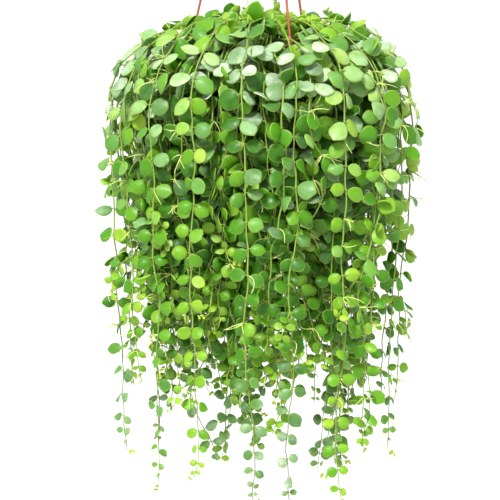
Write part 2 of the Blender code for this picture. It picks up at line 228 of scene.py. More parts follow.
def makeLeafFinish(look):
    finish, tree, shader = newFinish("leafWax", 0.4, 0.3)
    shades = [(0.0, look["deep"]), (0.35, look["middle"]), (0.7, look["bright"]), (1.0, look["yellow"])]
    skin = ramp(tree, painted(tree, "tone"), shades)
    skin = blend(tree, skin, look["middle"], stretch(tree, grain(tree, 150), *look["mottle"]))
    skin = blend(tree, skin, look["young"], painted(tree, "youth"))
    clouds = stretch(tree, grain(tree, 90, 4.0, 0.6), *look["clouds"])
    # Pale bloom colour over cloudy noise: real dusty bloom on dull vines, and a painted sheen on upward-facing
    # leaves near the top
    skin = blend(tree, skin, look["bloom"], blend(tree, (0.0, 0.0, 0.0), clouds, painted(tree, "bloom")))
    skin = blend(tree, skin, look["margin"], stretch(tree, painted(tree, "across"), *look["edge"]))
    put(shader, {"Subsurface Weight": look["through"], "Subsurface Radius": look["throughColour"],
                 "Subsurface Scale": look["throughDepth"]})
    wear = stretch(tree, grain(tree, 420, 2.0), *look["wear"])
    return complete(finish, tree, shader, skin, grain(tree, 800), look["relief"], wear)


def makeStemFinish(look):
    finish, tree, shader = newFinish("stemSkin", 0.5, 0.45)
    skin = ramp(tree, painted(tree, "tone"), [(0.0, look["fresh"]), (0.6, look["old"]), (1.0, look["woody"])])
    skin = blend(tree, skin, look["streak"], stretch(tree, grain(tree, 260), *look["streaks"]))
    skin = blend(tree, skin, look["young"], painted(tree, "youth"))
    wear = stretch(tree, grain(tree, 500, 2.0), *look["wear"])
    return complete(finish, tree, shader, skin, grain(tree, 900), look["relief"], wear)


def makeRootFinish(look):
    finish, tree, shader = newFinish("rootSkin", 0.6, 0.35)
    skin = ramp(tree, grain(tree, 180), [(0.3, look["green"]), (0.7, look["pale"])])
    return complete(finish, tree, shader, skin, grain(tree, 1200), look["relief"])


def makePlastic(name, dark, light, roughness, look):
    finish, tree, shader = newFinish(name, roughness, 0.45)
    skin = ramp(tree, grain(tree, 60, 4.0), [(0.3, dark), (0.7, light)])
    skin = blend(tree, skin, look["dust"], stretch(tree, grain(tree, 22, 5.0, 0.65), *look["dusty"]))
    smoother, rougher = look["wear"]
    wear = stretch(tree, grain(tree, 150), 0.3, 0.7, roughness + smoother, roughness + rougher)
    return complete(finish, tree, shader, skin, grain(tree, 1500, 2.0), look["relief"], wear)


def makeMixFinish(look):
    finish, tree, shader = newFinish("barkMix", 0.95, 0.2)
    shades = [(0.25, look["damp"]), (0.55, look["brown"]), (0.8, look["dry"])]
    skin = ramp(tree, grain(tree, 260, 5.0, 0.7), shades)
    return complete(finish, tree, shader, skin, grain(tree, 900, 4.0), look["relief"])


leafWax = makeLeafFinish(leafLook)
stemSkin = makeStemFinish(stemLook)
rootSkin = makeRootFinish(rootLook)
potPlastic = makePlastic("potPlastic", (0.040, 0.013, 0.009), (0.085, 0.030, 0.019), 0.50, plasticLook)
hangerPlastic = makePlastic("hangerPlastic", (0.33, 0.075, 0.038), (0.45, 0.120, 0.065), 0.42, plasticLook)
barkMix = makeMixFinish(barkLook)
print("finishes made")

# The plant's own sizes. Heights are from the top of the pot's rim, and rise moves them to their place
plant = {
    "rise": -0.335, "mixTop": -0.009, "holeFloor": -0.0257, "flange": 0.0745,
    "leaf": 0.0188, "leafShrink": 0.0078, "shrinkDepth": 0.45, "internode": 0.0245,
    "tipSteps": (0.004, 0.010, 0.014, 0.019), "youngSizes": (0.42, 0.62, 0.78, 0.9),
    "sprigSteps": (0.003, 0.008, 0.011, 0.014), "sprigSizes": (0.55, 0.8, 0.95),
    "fillSizes": (0.66, 0.85, 0.95),
    "stemSpacing": 0.056, "archFullness": 0.55, "endPullIn": 0.1, "settling": 0.005, "underside": -0.137,
    "wander": 1.3,
}
layers = {
    "outer": {"count": 18, "azimuth": 12.3, "root": 0.030, "crest": (0.062, 0.029),
              "hang": (0.148, -0.068), "drop": (0.300, 0.420), "leafEvery": 3},
    "middle": {"count": 12, "azimuth": 7.3, "root": 0.043, "crest": (0.066, 0.017),
               "hang": (0.116, -0.050), "drop": (0.240, 0.340), "leafEvery": 6},
    "inner": {"count": 6, "azimuth": 52.3, "root": 0.054, "crest": (0.071, 0.008),
              "hang": (0.090, -0.025), "drop": (0.200, 0.300), "leafEvery": 6},
}
# The drops of the trails that show at the front, by the number of the outer stem
frontDrops = {0: 0.441, 1: 0.453, 2: 0.387, 3: 0.395, 4: 0.352, 14: 0.325, 15: 0.420, 16: 0.412, 17: 0.430}
# Circle, how many, first azimuth, lean outwards and height
sprigRings = ((0.009, 3, 52.3, 0.006, 0.036), (0.021, 6, 22.3, 0.013, 0.030))


def around(azimuth, radius, height):
    # Azimuth 0 is the front, and it grows towards +X
    return Vector((radius * math.sin(azimuth), -radius * math.cos(azimuth), height))


# How far stems differ from the rule
routeSpread = {"crest": 0.002, "hang": 0.007, "sway": (0.002, 0.005), "wave": (0.14, 0.24), "drift": 0.03,
               "lean": (0.6, 1.4), "height": (0.85, 1.15), "swayFrom": 0.08}


def planStem(name, draw, azimuth, root, crest, hang, drop, freedom=1.0):
    spread = routeSpread
    return {
        "name": name, "azimuth": math.radians(azimuth), "root": root,
        "crest": (crest[0], crest[1] + draw.uniform(-spread["crest"], spread["crest"])),
        "hang": (hang[0] + draw.uniform(-spread["hang"], spread["hang"]), hang[1]), "drop": drop,
        "sway": draw.uniform(*spread["sway"]) * freedom, "wave": draw.uniform(*spread["wave"]),
        "phase": draw.uniform(0, math.tau), "drift": draw.uniform(-spread["drift"], spread["drift"]) * freedom,
        "pullIn": plant["endPullIn"],
    }


def planStems():
    # The stems of the solids, with the same draws in the same order
    stems = []
    for layer, sizes in layers.items():
        for number in range(sizes["count"]):
            draw = random.Random(f"{layer} {number}")
            drop = draw.uniform(*sizes["drop"])
            if layer == "outer":
                drop = frontDrops.get(number, drop)
            azimuth = sizes["azimuth"] + 360 * number / sizes["count"]
            stem = planStem(f"stem_{layer}_{number + 1:02d}", draw, azimuth, sizes["root"], sizes["crest"],
                            sizes["hang"], drop)
            stems.append({**stem, "leafEvery": sizes["leafEvery"], "wander": plant["wander"]})
    stemCount = len(stems)
    for circle, count, first, lean, height in sprigRings:
        for number in range(count):
            draw = random.Random(f"sprig {circle} {number}")
            tip = (circle + lean * draw.uniform(*routeSpread["lean"]),
                   height * draw.uniform(*routeSpread["height"]))
            stems.append({"name": f"sprig_{len(stems) - stemCount + 1:02d}", "root": circle, "tip": tip,
                          "azimuth": math.radians(first + 360 * number / count), "leafEvery": 1, "wander": 0.0})
    return stems


# Vines and sprigs that the solids leave out. Reach is 0 for vines close to the pot and 1 for the outermost
fillSettings = {
    "vines": 130, "sectors": 6, "root": (0.056, 0.014), "crestRadius": (0.070, 0.060),
    "crestHeight": (0.004, 0.016), "hangRadius": (0.084, 0.152), "hangHeight": (-0.020, -0.070),
    "drop": (0.190, 0.330), "longDrop": (0.330, 0.430), "longShare": 0.13, "pullIn": (0.08, 0.40),
    "freedom": 3.2, "azimuthSpread": 0.45, "nearness": 1.35, "crestSpread": (-0.003, 0.004),
    "rootSpread": (0.85, 1.0), "wander": 2.4, "sprigs": 34, "sprigCircle": (0.004, 0.058),
    "sprigHeight": (0.010, 0.036), "sprigLean": (0.002, 0.030), "sprigSpread": 0.2, "outerShorter": 0.25,
    "goldenAngle": 2.399963,
}


def planFill(settings):
    stems = []
    for number in range(settings["vines"]):
        draw = random.Random(f"fill vine {number}")
        spread = settings["azimuthSpread"]
        azimuth = 360 * (number + draw.uniform(-spread, spread)) / settings["vines"]
        reach = draw.random() ** settings["nearness"]
        crest = (between(settings["crestRadius"], reach),
                 between(settings["crestHeight"], reach) + draw.uniform(*settings["crestSpread"]))
        drops = settings["longDrop" if draw.random() < settings["longShare"] else "drop"]
        drop = between(drops, draw.random())
        root = between(settings["root"], reach) * draw.uniform(*settings["rootSpread"])
        hang = between(settings["hangRadius"], reach), between(settings["hangHeight"], reach)
        stem = planStem(f"fill vine {number}", draw, azimuth, root, crest, hang, drop, settings["freedom"])
        stem["pullIn"] = draw.uniform(*settings["pullIn"])
        sector = int(azimuth % 360 * settings["sectors"] / 360)
        stems.append({**stem, "sector": sector, "wander": settings["wander"]})
    for number in range(settings["sprigs"]):
        draw = random.Random(f"fill sprig {number}")
        share = math.sqrt((number + 0.5) / settings["sprigs"])
        circle = between(settings["sprigCircle"], share)
        height = draw.uniform(*settings["sprigHeight"]) * (1 - settings["outerShorter"] * share)
        spread = settings["sprigSpread"]
        azimuth = number * settings["goldenAngle"] + draw.uniform(-spread, spread)
        stems.append({"name": f"fill sprig {number}", "azimuth": azimuth, "root": circle,
                      "tip": (circle + draw.uniform(*settings["sprigLean"]), height),
                      "sector": number % settings["sectors"], "wander": 0.0})
    return stems


def bendPoints(start, corner, end, count):
    leaving = start.lerp(corner, plant["archFullness"])
    reaching = end.lerp(corner, plant["archFullness"])
    return interpolate_bezier(start, leaving, reaching, end, count)


def stemProfile(stem):
    # Radius and height along the stem, in its own upright plane
    root = Vector((stem["root"], plant["holeFloor"], 0))
    soil = Vector((stem["root"], plant["mixTop"], 0))
    if "tip" in stem:
        tip = Vector((*stem["tip"], 0))
        return [root, *bendPoints(soil, Vector((soil.x, tip.y / 2, 0)), tip, 5)]
    crest = Vector((stem["crest"][0], stem["crest"][1] - plant["settling"], 0))
    hang = Vector((*stem["hang"], 0))
    rise = bendPoints(soil, Vector((soil.x, crest.y, 0)), crest, 4)
    fall = bendPoints(crest, Vector((hang.x, crest.y, 0)), hang, 6)
    left = stem["drop"] + hang.y
    count = max(2, round(left / plant["stemSpacing"]))
    shares = [step / count for step in range(1, count + 1)]
    straight = [Vector((hang.x * (1 - stem["pullIn"] * share), hang.y - left * share, 0)) for share in shares]
    return [root, *rise, *fall[1:], *straight]


def stemRoute(stem):
    route = []
    for radius, height, _ in stemProfile(stem):
        azimuth = stem["azimuth"]
        if "drop" in stem:
            below = max(0.0, stem["hang"][1] - height)
            swing = stem["sway"] * math.sin(math.tau * below / stem["wave"] + stem["phase"])
            azimuth += (swing * min(1.0, below / routeSpread["swayFrom"]) + stem["drift"] * below) / radius
        route.append(around(azimuth, radius, height))
    return route


# Trails wander by a slow and a quick noise, each with a frequency and a size, outside the pot
wandering = {"from": 0.06, "over": 0.03, "slow": (15, 0.0036), "quick": (48, 0.0018), "apart": (3.7, 1.3, 2.1)}


class Trail:
    # A smooth line through a route's points that wanders a little outside the pot

    def __init__(self, route, number, wander):
        self.route = route
        self.lengths = [(end - start).length for start, end in zip(route, route[1:])]
        self.offset = Vector([number * step for step in wandering["apart"]])
        self.wander = wander
        runs = [(end - start).normalized() for start, end in zip(route, route[1:])]
        self.slopes = [runs[0]]
        for i in range(1, len(runs)):
            before, after = self.lengths[i - 1], self.lengths[i]
            self.slopes.append((runs[i - 1] * after + runs[i] * before) / (before + after))
        self.slopes.append(runs[-1])

    def at(self, index, share):
        square = share * share
        cube = square * share
        start, end = self.route[index : index + 2]
        point = start * (2 * cube - 3 * square + 1) + end * (3 * square - 2 * cube)
        point += self.slopes[index] * self.lengths[index] * (cube - 2 * square + share)
        point += self.slopes[index + 1] * self.lengths[index] * (cube - square)
        free = clamp((math.hypot(point.x, point.y) - wandering["from"]) / wandering["over"]) * self.wander
        if free:
            often, size = wandering["slow"]
            slow = noise.noise_vector(point * often + self.offset) * size
            often, size = wandering["quick"]
            point += (slow + noise.noise_vector(point * often - self.offset) * size) * free
        return point

    def fromTip(self, distance):
        # Span, share of the span and growing direction at a distance from the tip, or None past the root
        for index in range(len(self.lengths) - 1, -1, -1):
            if distance <= self.lengths[index]:
                growth = (self.route[index + 1] - self.route[index]).normalized()
                return index, 1 - distance / self.lengths[index], growth
            distance -= self.lengths[index]
        return None


def squared(light, growth):
    # The direction of light made square to growth
    return (light - growth * light.dot(growth)).normalized()


def swung(sideways, facing, turn):
    return sideways * math.cos(turn) + facing * math.sin(turn)


def leafAcross(across, growth, facing, droop, tilt):
    # Axis and normal of a leaf that stands out along across
    axis = (across * math.cos(droop) + growth * math.sin(droop)).normalized()
    return axis, squared(facing * math.cos(tilt) + upward * math.sin(tilt), axis)


def makePair(trail, found, distance, outward, facing, leaves):
    index, share, growth = found
    return {"mark": (index, share), "place": trail.at(index, share), "growth": growth, "outward": outward,
            "facing": facing, "distance": distance, "leaves": leaves}


# Angles in degrees. Brim is how high above the rim the leafless stretch over the pot ends
pairSettings = {"spacing": (0.9, 1.1), "brim": 0.004, "turn": 22, "droop": (8, 38), "tilt": (10, 35),
                "sizes": (0.92, 1.08), "level": 0.7, "lightFromAbove": 0.3}


def leafPairs(stem, trail, settings):
    # Pairs of leaves from the tip back, with the same draws in the same order as the solids'
    draw = random.Random(stem["name"])
    upright = "tip" in stem
    steps = plant["sprigSteps"] if upright else plant["tipSteps"]
    youngSizes = plant["sprigSizes"] if upright else plant["youngSizes"]
    if "sector" in stem:
        youngSizes = plant["fillSizes"]
    pairs = []
    distance = 0.0
    while True:
        order = len(pairs)
        if order < len(steps):
            distance += steps[order]
        else:
            distance += plant["internode"] * draw.uniform(*settings["spacing"])
        found = trail.fromTip(distance)
        if found is None:
            return pairs
        index, share, growth = found
        corner = trail.route[index].lerp(trail.route[index + 1], share)
        besidePot = plant["underside"] < corner.z < settings["brim"]
        if besidePot and math.hypot(corner.x, corner.y) < plant["flange"]:
            return pairs
        outward = Vector((corner.x, corner.y, 0)).normalized()
        facing = squared(outward, growth)
        if upright or outward.dot(growth) > settings["level"]:
            facing = (facing * settings["lightFromAbove"] + upward).normalized()
        sideways = growth.cross(facing).normalized()
        young = youngSizes[order] if order < len(youngSizes) else 1.0
        length = (plant["leaf"] + plant["leafShrink"] * min(0.0, corner.z) / plant["shrinkDepth"]) * young
        turn = math.radians(draw.gauss(0, settings["turn"]))
        leaves = []
        for side in (-1, 1):
            droop, tilt = (math.radians(draw.uniform(*settings[name])) for name in ("droop", "tilt"))
            axis, normal = leafAcross(side * swung(sideways, facing, turn), growth, facing, droop, tilt)
            leaves.append((axis, normal, length * draw.uniform(*settings["sizes"])))
        pairs.append(makePair(trail, found, distance, outward, facing, leaves))


def meshFrom(shape, name):
    mesh = bpy.data.meshes.new(name)
    shape.to_mesh(mesh)
    shape.free()
    return mesh


# Leaf shapes of unit length, which grow along +X from the stalk and face +Z
leafShapes = {"count": 8, "corners": 20, "width": (0.76, 1.00), "thick": 0.075, "cup": (-0.04, 0.15),
              "fold": (-0.04, 0.12), "point": (0.02, 0.12), "pointSharpness": 24,
              "rings": ((0.87, 0.66), (1.0, 0.0)),
              "ripple": 0.012, "wave": 0.03, "belly": -0.75, "middle": 0.53, "half": 0.47, "broadEnd": 0.09}


def makeLeafShape(number, settings):
    draw = random.Random(f"leaf {number}")
    corners = settings["corners"]
    width, cup, fold, point = (draw.uniform(*settings[name]) for name in ("width", "cup", "fold", "point"))
    ripple = [draw.uniform(-settings["ripple"], settings["ripple"]) for _ in range(corners)]
    shape = bmesh.new()
    margin = shape.verts.layers.float.new("across")

    def corner(ring, height, step=0):
        turn = math.tau * step / corners
        x, y = math.cos(turn), math.sin(turn)
        reach = ring * (1 + ripple[step] * ring)
        tip = point * ring * max(0.0, x) ** settings["pointSharpness"]
        level = height * settings["thick"] / 2 - cup * reach**2 - fold * (reach * y)**2
        level += settings["wave"] * reach * math.sin(2 * turn + number)
        along = settings["middle"] + reach * settings["half"] * x + tip
        made = shape.verts.new((along, reach * 0.5 * width * y * (1 + settings["broadEnd"] * x), level))
        made[margin] = ring  # the leaf finish reads it
        return made

    loops = [[corner(ring, height, step) for step in range(corners)] for ring, height in settings["rings"]]
    top, bottom = corner(0.0, 1.0), corner(0.0, settings["belly"])
    for i in range(corners):
        j = (i + 1) % corners
        shape.faces.new((top, loops[0][i], loops[0][j]))
        shape.faces.new((loops[-1][j], loops[-1][i], bottom))
        for upper, lower in zip(loops, loops[1:]):
            shape.faces.new((upper[i], lower[i], lower[j], upper[j]))
    bmesh.ops.recalc_face_normals(shape, faces=shape.faces)
    return bpy.data.objects.new(f"leafShape{number}", meshFrom(shape, f"leafShape{number}"))


leafCollection = bpy.data.collections.new("leafShapes")
for number in range(leafShapes["count"]):
    leafCollection.objects.link(makeLeafShape(number, leafShapes))

def newTree(name, entries):
    # A geometry tree with a named input for each entry, its input node and the identifiers of the inputs
    tree = bpy.data.node_groups.new(name, "GeometryNodeTree")
    for way in ("INPUT", "OUTPUT"):
        tree.interface.new_socket("Geometry", in_out=way, socket_type="NodeSocketGeometry")
    sockets = {key: tree.interface.new_socket(key, in_out="INPUT", socket_type="NodeSocket" + kind).identifier
               for key, (kind, _) in entries.items()}
    return tree, node(tree, "NodeGroupInput"), sockets


def named(tree, name, kind, end, entry):
    made = put(node(tree, "GeometryNodeInputNamedAttribute", data_type=kind), {"Name": name})
    wire(tree, made, "Attribute", end, entry)


def strewn(tree):
    # The shapes of a collection and the node that sets one of them on each point
    shapes = put(node(tree, "GeometryNodeCollectionInfo"), {"Separate Children": True, "Reset Children": True})
    placed = put(node(tree, "GeometryNodeInstanceOnPoints"), {"Pick Instance": True})
    wire(tree, shapes, "Instances", placed, "Instance")
    return shapes, placed


def together(tree, *sources):
    # Joins the sources and makes their instances real
    whole = node(tree, "GeometryNodeJoinGeometry")
    solid = node(tree, "GeometryNodeRealizeInstances")
    for source, output in sources:
        wire(tree, source, output, whole, "Geometry")
    wire(tree, whole, "Geometry", solid, "Geometry")
    return solid


def useTree(piece, tree, sockets, entries, inputs=None):
    modifier = piece.modifiers.new(tree.name, "NODES")
    modifier.node_group = tree
    for key, (_, value) in entries.items():
        modifier[sockets[key]] = (inputs or {}).get(key, value)


# The tree that grows a piece from its skeleton: edges become round bars, and loose points become leaves
growInputs = {"Leaf shapes": ("Collection", leafCollection), "Sides": ("Int", 6),
              "Leaf finish": ("Material", leafWax), "Bar finish": ("Material", stemSkin),
              "Root finish": ("Material", rootSkin)}


def makeGrowTree(entries):
    tree, start, sockets = newTree("growVine", entries)
    parts = node(tree, "GeometryNodeSeparateGeometry", domain="POINT")
    lines = node(tree, "GeometryNodeMeshToCurve")
    ring = put(node(tree, "GeometryNodeCurvePrimitiveCircle"), {"Radius": 1.0})
    bars = put(node(tree, "GeometryNodeCurveToMesh"), {"Fill Caps": True})
    shapes, leaves = strewn(tree)
    turn = node(tree, "FunctionNodeAxesToRotation", primary_axis="X", secondary_axis="Z")
    wires(tree, (start, "Geometry", parts, "Geometry"), (parts, "Inverted", lines, "Mesh"),
          (start, "Sides", ring, "Resolution"), (lines, "Curve", bars, "Curve"),
          (ring, "Curve", bars, "Profile Curve"), (start, "Leaf shapes", shapes, "Collection"),
          (parts, "Selection", leaves, "Points"), (turn, "Rotation", leaves, "Rotation"))
    for name, kind, end, entry in (
        ("isLeaf", "BOOLEAN", parts, "Selection"), ("thickness", "FLOAT", bars, "Scale"),
        ("leafShape", "INT", leaves, "Instance Index"), ("leafLength", "FLOAT", leaves, "Scale"),
        ("leafAxis", "FLOAT_VECTOR", turn, "Primary Axis"),
        ("leafNormal", "FLOAT_VECTOR", turn, "Secondary Axis"),
    ):
        named(tree, name, kind, end, entry)
    last = node(tree, "GeometryNodeSetShadeSmooth")
    wire(tree, together(tree, (bars, "Mesh"), (leaves, "Instances")), "Geometry", last, "Geometry")
    for finish, chosen in (("Bar finish", None), ("Root finish", "isRoot"), ("Leaf finish", "isLeaf")):
        dressed = node(tree, "GeometryNodeSetMaterial")
        wires(tree, (last, "Geometry", dressed, "Geometry"), (start, finish, dressed, "Material"))
        if chosen:
            named(tree, chosen, "BOOLEAN", dressed, "Selection")
        last = dressed
    wire(tree, last, "Geometry", node(tree, "NodeGroupOutput"), "Geometry")
    return tree, sockets


growTree, growSockets = makeGrowTree(growInputs)
pointValues = {"isLeaf": "BOOLEAN", "isRoot": "BOOLEAN", "thickness": "FLOAT", "leafLength": "FLOAT",
               "leafShape": "INT", "leafAxis": "FLOAT_VECTOR", "leafNormal": "FLOAT_VECTOR",
               "tone": "FLOAT", "youth": "FLOAT", "bloom": "FLOAT"}
keptValues = {"tone", "youth", "bloom"}


class Skeleton:
    # The lines and leaf points of one piece

    def __init__(self):
        self.points, self.edges = [], []
        self.values = {name: [] for name in pointValues}

    def add(self, point, **values):
        self.points.append(tuple(point))
        for name, column in self.values.items():
            column.append(values.get(name, (1.0, 0.0, 0.0) if pointValues[name] == "FLOAT_VECTOR" else 0))

    def line(self, points, thickness, tone=0.0, youth=0.0, isRoot=0):
        first = len(self.points)
        tones, youths = (value if isinstance(value, list) else [value] * len(points) for value in (tone, youth))
        for point, thick, age, fresh in zip(points, thickness, tones, youths):
            self.add(point, thickness=thick, tone=age, youth=fresh, isRoot=isRoot)
        self.edges += [(i, i + 1) for i in range(first, len(self.points) - 1)]

    def leaf(self, place, axis, normal, length, **look):
        self.add(place, isLeaf=1, leafAxis=tuple(axis), leafNormal=tuple(normal), leafLength=length, **look)

    def grow(self, name, rise=plant["rise"], **inputs):
        mesh = bpy.data.meshes.new(name + "Skeleton")
        mesh.from_pydata(self.points, self.edges, [])
        for key, kind in pointValues.items():
            layer = mesh.attributes.new(key, kind, "POINT")
            if kind == "FLOAT_VECTOR":
                layer.data.foreach_set("vector", np.array(self.values[key], np.float32).ravel())
            else:
                layer.data.foreach_set("value", self.values[key])
        bones = newPiece(name + "Skeleton", mesh)
        useTree(bones, growTree, growSockets, growInputs, inputs)
        grown = settledMesh(bones)
        bpy.data.objects.remove(bones)
        bpy.data.meshes.remove(mesh)
        for key in pointValues.keys() - keptValues:
            if key in grown.attributes:
                grown.attributes.remove(grown.attributes[key])
        grown.transform(Matrix.Translation((0, 0, rise)))
        return newPiece(name, grown)


def settledMesh(piece):
    bpy.context.view_layer.update()
    return bpy.data.meshes.new_from_object(piece.evaluated_get(bpy.context.evaluated_depsgraph_get()))


def settle(piece):
    # The piece's modifiers become its mesh
    settled = settledMesh(piece)
    piece.modifiers.clear()
    piece.data = settled
    settled.name = piece.name
    return settled


def discard(collection):
    for thing in list(collection.objects):
        bpy.data.objects.remove(thing)
    bpy.data.collections.remove(collection)


def giveToFrame(piece, slot, *nodes):
    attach(piece, "root")
    if nodes:
        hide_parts(*nodes)


# Hanger: rods whose thickness changes along them. Heights are from the hook's seat
rodTurns = {"front": 22.3, "left": 262.3, "back": 142.3}
hanger = {
    "wire": 0.0024, "bend": 0.0144, "arc": (-60, 190), "hubTop": -0.036, "hubHeight": 0.011,
    "hubRadius": 0.0085, "rod": 0.00125, "circle": 0.0695, "atHub": 0.0042, "socket": 0.0055,
    "rodBend": 0.010, "gap": 0.0003,
    "azimuths": {name: math.radians(turn) for name, turn in rodTurns.items()},
    "clip": (0.0030, 0.0020, 0.009), "button": (0.0027, 0.0013, 0.003), "rim": 0.002,
}


def rodLine(settings):
    foot = Vector((settings["atHub"], settings["hubTop"] - settings["hubHeight"]))
    bend = Vector((settings["circle"], plant["rise"] + settings["rodBend"]))
    return foot, bend, (bend - foot).normalized()


def makeRod(settings, name, azimuth):
    foot, bend, run = rodLine(settings)
    rod = settings["rod"]
    down = Vector((0, 0.0002))
    corner = interpolate_bezier(bend - run * 0.005, bend - run * 0.002, bend + down * 5, bend - down, 7)
    line = [foot - run * settings["socket"], foot.lerp(bend, 0.3), foot.lerp(bend, 0.7), *corner[:-1]]
    marks = [(point, rod) for point in line]
    low, high, height = settings["clip"]
    wide, narrow, depth = settings["button"]
    clipFoot = plant["rise"] + settings["gap"]
    clipTop = clipFoot + height
    buttonTop = plant["rise"] - settings["rim"] - settings["gap"]
    ledge, step = 0.0003, 0.00002
    for level, thickness in (
        (clipTop + ledge, rod), (clipTop, high * 0.86), (clipTop - ledge, high),
        (clipFoot + ledge * 4, low * 0.97), (clipFoot + ledge, low), (clipFoot, low * 0.92),
        (clipFoot - step, rod), (buttonTop + step, rod),
        (buttonTop, wide * 0.94), (buttonTop - ledge, wide), (buttonTop - depth + ledge, narrow * 1.15),
        (buttonTop - depth, narrow * 0.8),
    ):
        marks.append((Vector((settings["circle"], level)), thickness))
    skeleton = Skeleton()
    skeleton.line([around(azimuth, *point) for point, _ in marks], [thickness for _, thickness in marks])
    piece = skeleton.grow("hangerRod" + name.capitalize(), 0, **{"Sides": 20, "Bar finish": hangerPlastic})
    piece.data.set_sharp_from_angle(angle=math.radians(40))
    giveToFrame(piece, "hanger_plastic", f"hanger_strand_{name}")


def cutter(radius, depth, place, axis=(0, 0, 1), sides=20):
    # A cylinder from place along axis
    shape = bmesh.new()
    bmesh.ops.create_cone(shape, cap_ends=True, segments=sides, radius1=radius, radius2=radius, depth=depth)
    bmesh.ops.translate(shape, verts=shape.verts, vec=(0, 0, depth / 2))
    mesh = meshFrom(shape, "cutter")
    mesh.transform(Matrix.Translation(place) @ upward.rotation_difference(Vector(axis)).to_matrix().to_4x4())
    return mesh


def combined(piece, meshes, operation):
    # Joins meshes to the piece or cuts them from it, and settles the result
    tools = bpy.data.collections.new("tools")
    scene.collection.children.link(tools)
    for mesh in meshes:
        tools.objects.link(bpy.data.objects.new("tool", mesh))
    boolean = piece.modifiers.new("combine", "BOOLEAN")
    boolean.operation, boolean.operand_type = operation, "COLLECTION"
    boolean.collection, boolean.solver = tools, "EXACT"
    settled = settle(piece)
    discard(tools)
    settled.shade_smooth()
    settled.set_sharp_from_angle(angle=sharpAngle)


def roundedProfile(points, radius):
    # Corners of (radius, height) points made round, apart from the two ends
    points = [Vector((*point, 0)) for point in points]
    rounded = [points[0]]
    for before, corner, after in zip(points, points[1:], points[2:]):
        back, ahead = before - corner, after - corner
        reach = min(radius, back.length * 0.45, ahead.length * 0.45)
        start, end = corner + back.normalized() * reach, corner + ahead.normalized() * reach
        rounded += interpolate_bezier(start, start.lerp(corner, 0.55), end.lerp(corner, 0.55), end, 4)
    return [(point.x, point.y) for point in (*rounded, points[-1])]


def turnedMesh(name, profile, steps):
    # A round solid from points that run down its outer side
    mesh = bpy.data.meshes.new(name)
    edges = [(i, i + 1) for i in range(len(profile) - 1)]
    mesh.from_pydata([(radius, 0, height) for radius, height in profile], edges, [])
    lathe = newPiece(name, mesh)
    screw = lathe.modifiers.new("turn", "SCREW")
    screw.steps = screw.render_steps = steps
    screw.use_merge_vertices = True
    screw.merge_threshold = 0.00001
    turned = settledMesh(lathe)
    bpy.data.objects.remove(lathe)
    bpy.data.meshes.remove(mesh)
    shape = bmesh.new()
    shape.from_mesh(turned)
    bmesh.ops.recalc_face_normals(shape, faces=shape.faces)
    shape.to_mesh(turned)
    shape.free()
    turned.shade_smooth()
    turned.set_sharp_from_angle(angle=sharpAngle)
    return turned


def makeHook(settings):
    radius, wireRadius = settings["bend"], settings["wire"]
    centre = Vector((0, 0, wireRadius - radius))
    start, end = (math.radians(angle) for angle in settings["arc"])
    angles = [start + (end - start) * step / 40 for step in range(41)]
    bend = [centre + radius * Vector((math.cos(angle), 0, math.sin(angle))) for angle in angles]
    foot = Vector((0, 0, settings["hubTop"]))
    into = radius / 3 * Vector((-math.sin(start), 0, math.cos(start)))
    neck = interpolate_bezier(foot, foot + upward * radius / 3, bend[0] - into, bend[0], 12)
    line = [foot - upward * settings["hubHeight"] / 2, *neck, *bend[1:]]
    skeleton = Skeleton()
    skeleton.line(line, [wireRadius] * (len(line) - 2) + [wireRadius * 0.92, wireRadius * 0.6])
    hook = skeleton.grow("hangerHook", 0, **{"Sides": 24, "Bar finish": hangerPlastic})
    top, height, wide = settings["hubTop"], settings["hubHeight"], settings["hubRadius"]
    profile = [(0, top), (wide * 0.7, top), (wide, top - height * 0.3), (wide, top - height * 0.6),
               (wide * 0.8, top - height), (0, top - height)]
    combined(hook, [turnedMesh("hub", roundedProfile(profile, 0.0009), 48)], "UNION")
    hubFoot, _, run = rodLine(settings)
    mouthAt = hubFoot + run * settings["socket"]
    depthAt = hubFoot - run * (settings["socket"] + settings["gap"])
    sockets = []
    for azimuth in settings["azimuths"].values():
        mouth = around(azimuth, *mouthAt)
        axis = around(azimuth, *depthAt) - mouth
        sockets.append(cutter(settings["rod"] + settings["gap"], axis.length, mouth, axis))
    combined(hook, sockets, "DIFFERENCE")
    giveToFrame(hook, "hanger_plastic", "hanger_hook")


makeHook(hanger)
for rodName, rodAzimuth in hanger["azimuths"].items():
    makeRod(hanger, rodName, rodAzimuth)

# Pot: turned with rounded edges, with its drain holes and the holes for the hanger
pot = {
    "steps": 96, "depth": 0.135, "mouth": 0.0645, "base": 0.049, "wall": 0.0018, "floor": 0.002, "rim": 0.002,
    "lip": 0.008, "edge": 0.0007, "drains": 6, "drainRadius": 0.004, "drainCircle": 0.030, "cut": 0.006,
    "rodRoom": 0.0001,
}


def makePot(settings):
    wall, mouth, base, depth = settings["wall"], settings["mouth"], settings["base"], settings["depth"]
    flange, rim, lip = plant["flange"], settings["rim"], settings["lip"]
    floorTop = settings["floor"] - depth
    profile = [(0, floorTop), (base - wall, floorTop), (mouth, 0), (flange, 0), (flange, -lip),
               (flange - wall, -lip), (flange - wall, -rim), (mouth + wall, -rim), (base, -depth), (0, -depth)]
    turned = turnedMesh("potFine", roundedProfile(profile, settings["edge"]), settings["steps"])
    piece = newPiece("potFine", turned, potPlastic)
    holes = []
    for number in range(settings["drains"]):
        place = around(math.tau * number / settings["drains"], settings["drainCircle"], -depth - rim)
        holes.append(cutter(settings["drainRadius"], settings["cut"], place))
    for azimuth in hanger["azimuths"].values():
        place = around(azimuth, hanger["circle"], -2 * rim)
        holes.append(cutter(hanger["rod"] + hanger["gap"] + settings["rodRoom"], settings["cut"], place))
    combined(piece, holes, "DIFFERENCE")
    piece.data.transform(Matrix.Translation((0, 0, plant["rise"])))
    giveToFrame(piece, "pot_plastic", "pot")


makePot(pot)
print("hanger and pot made")

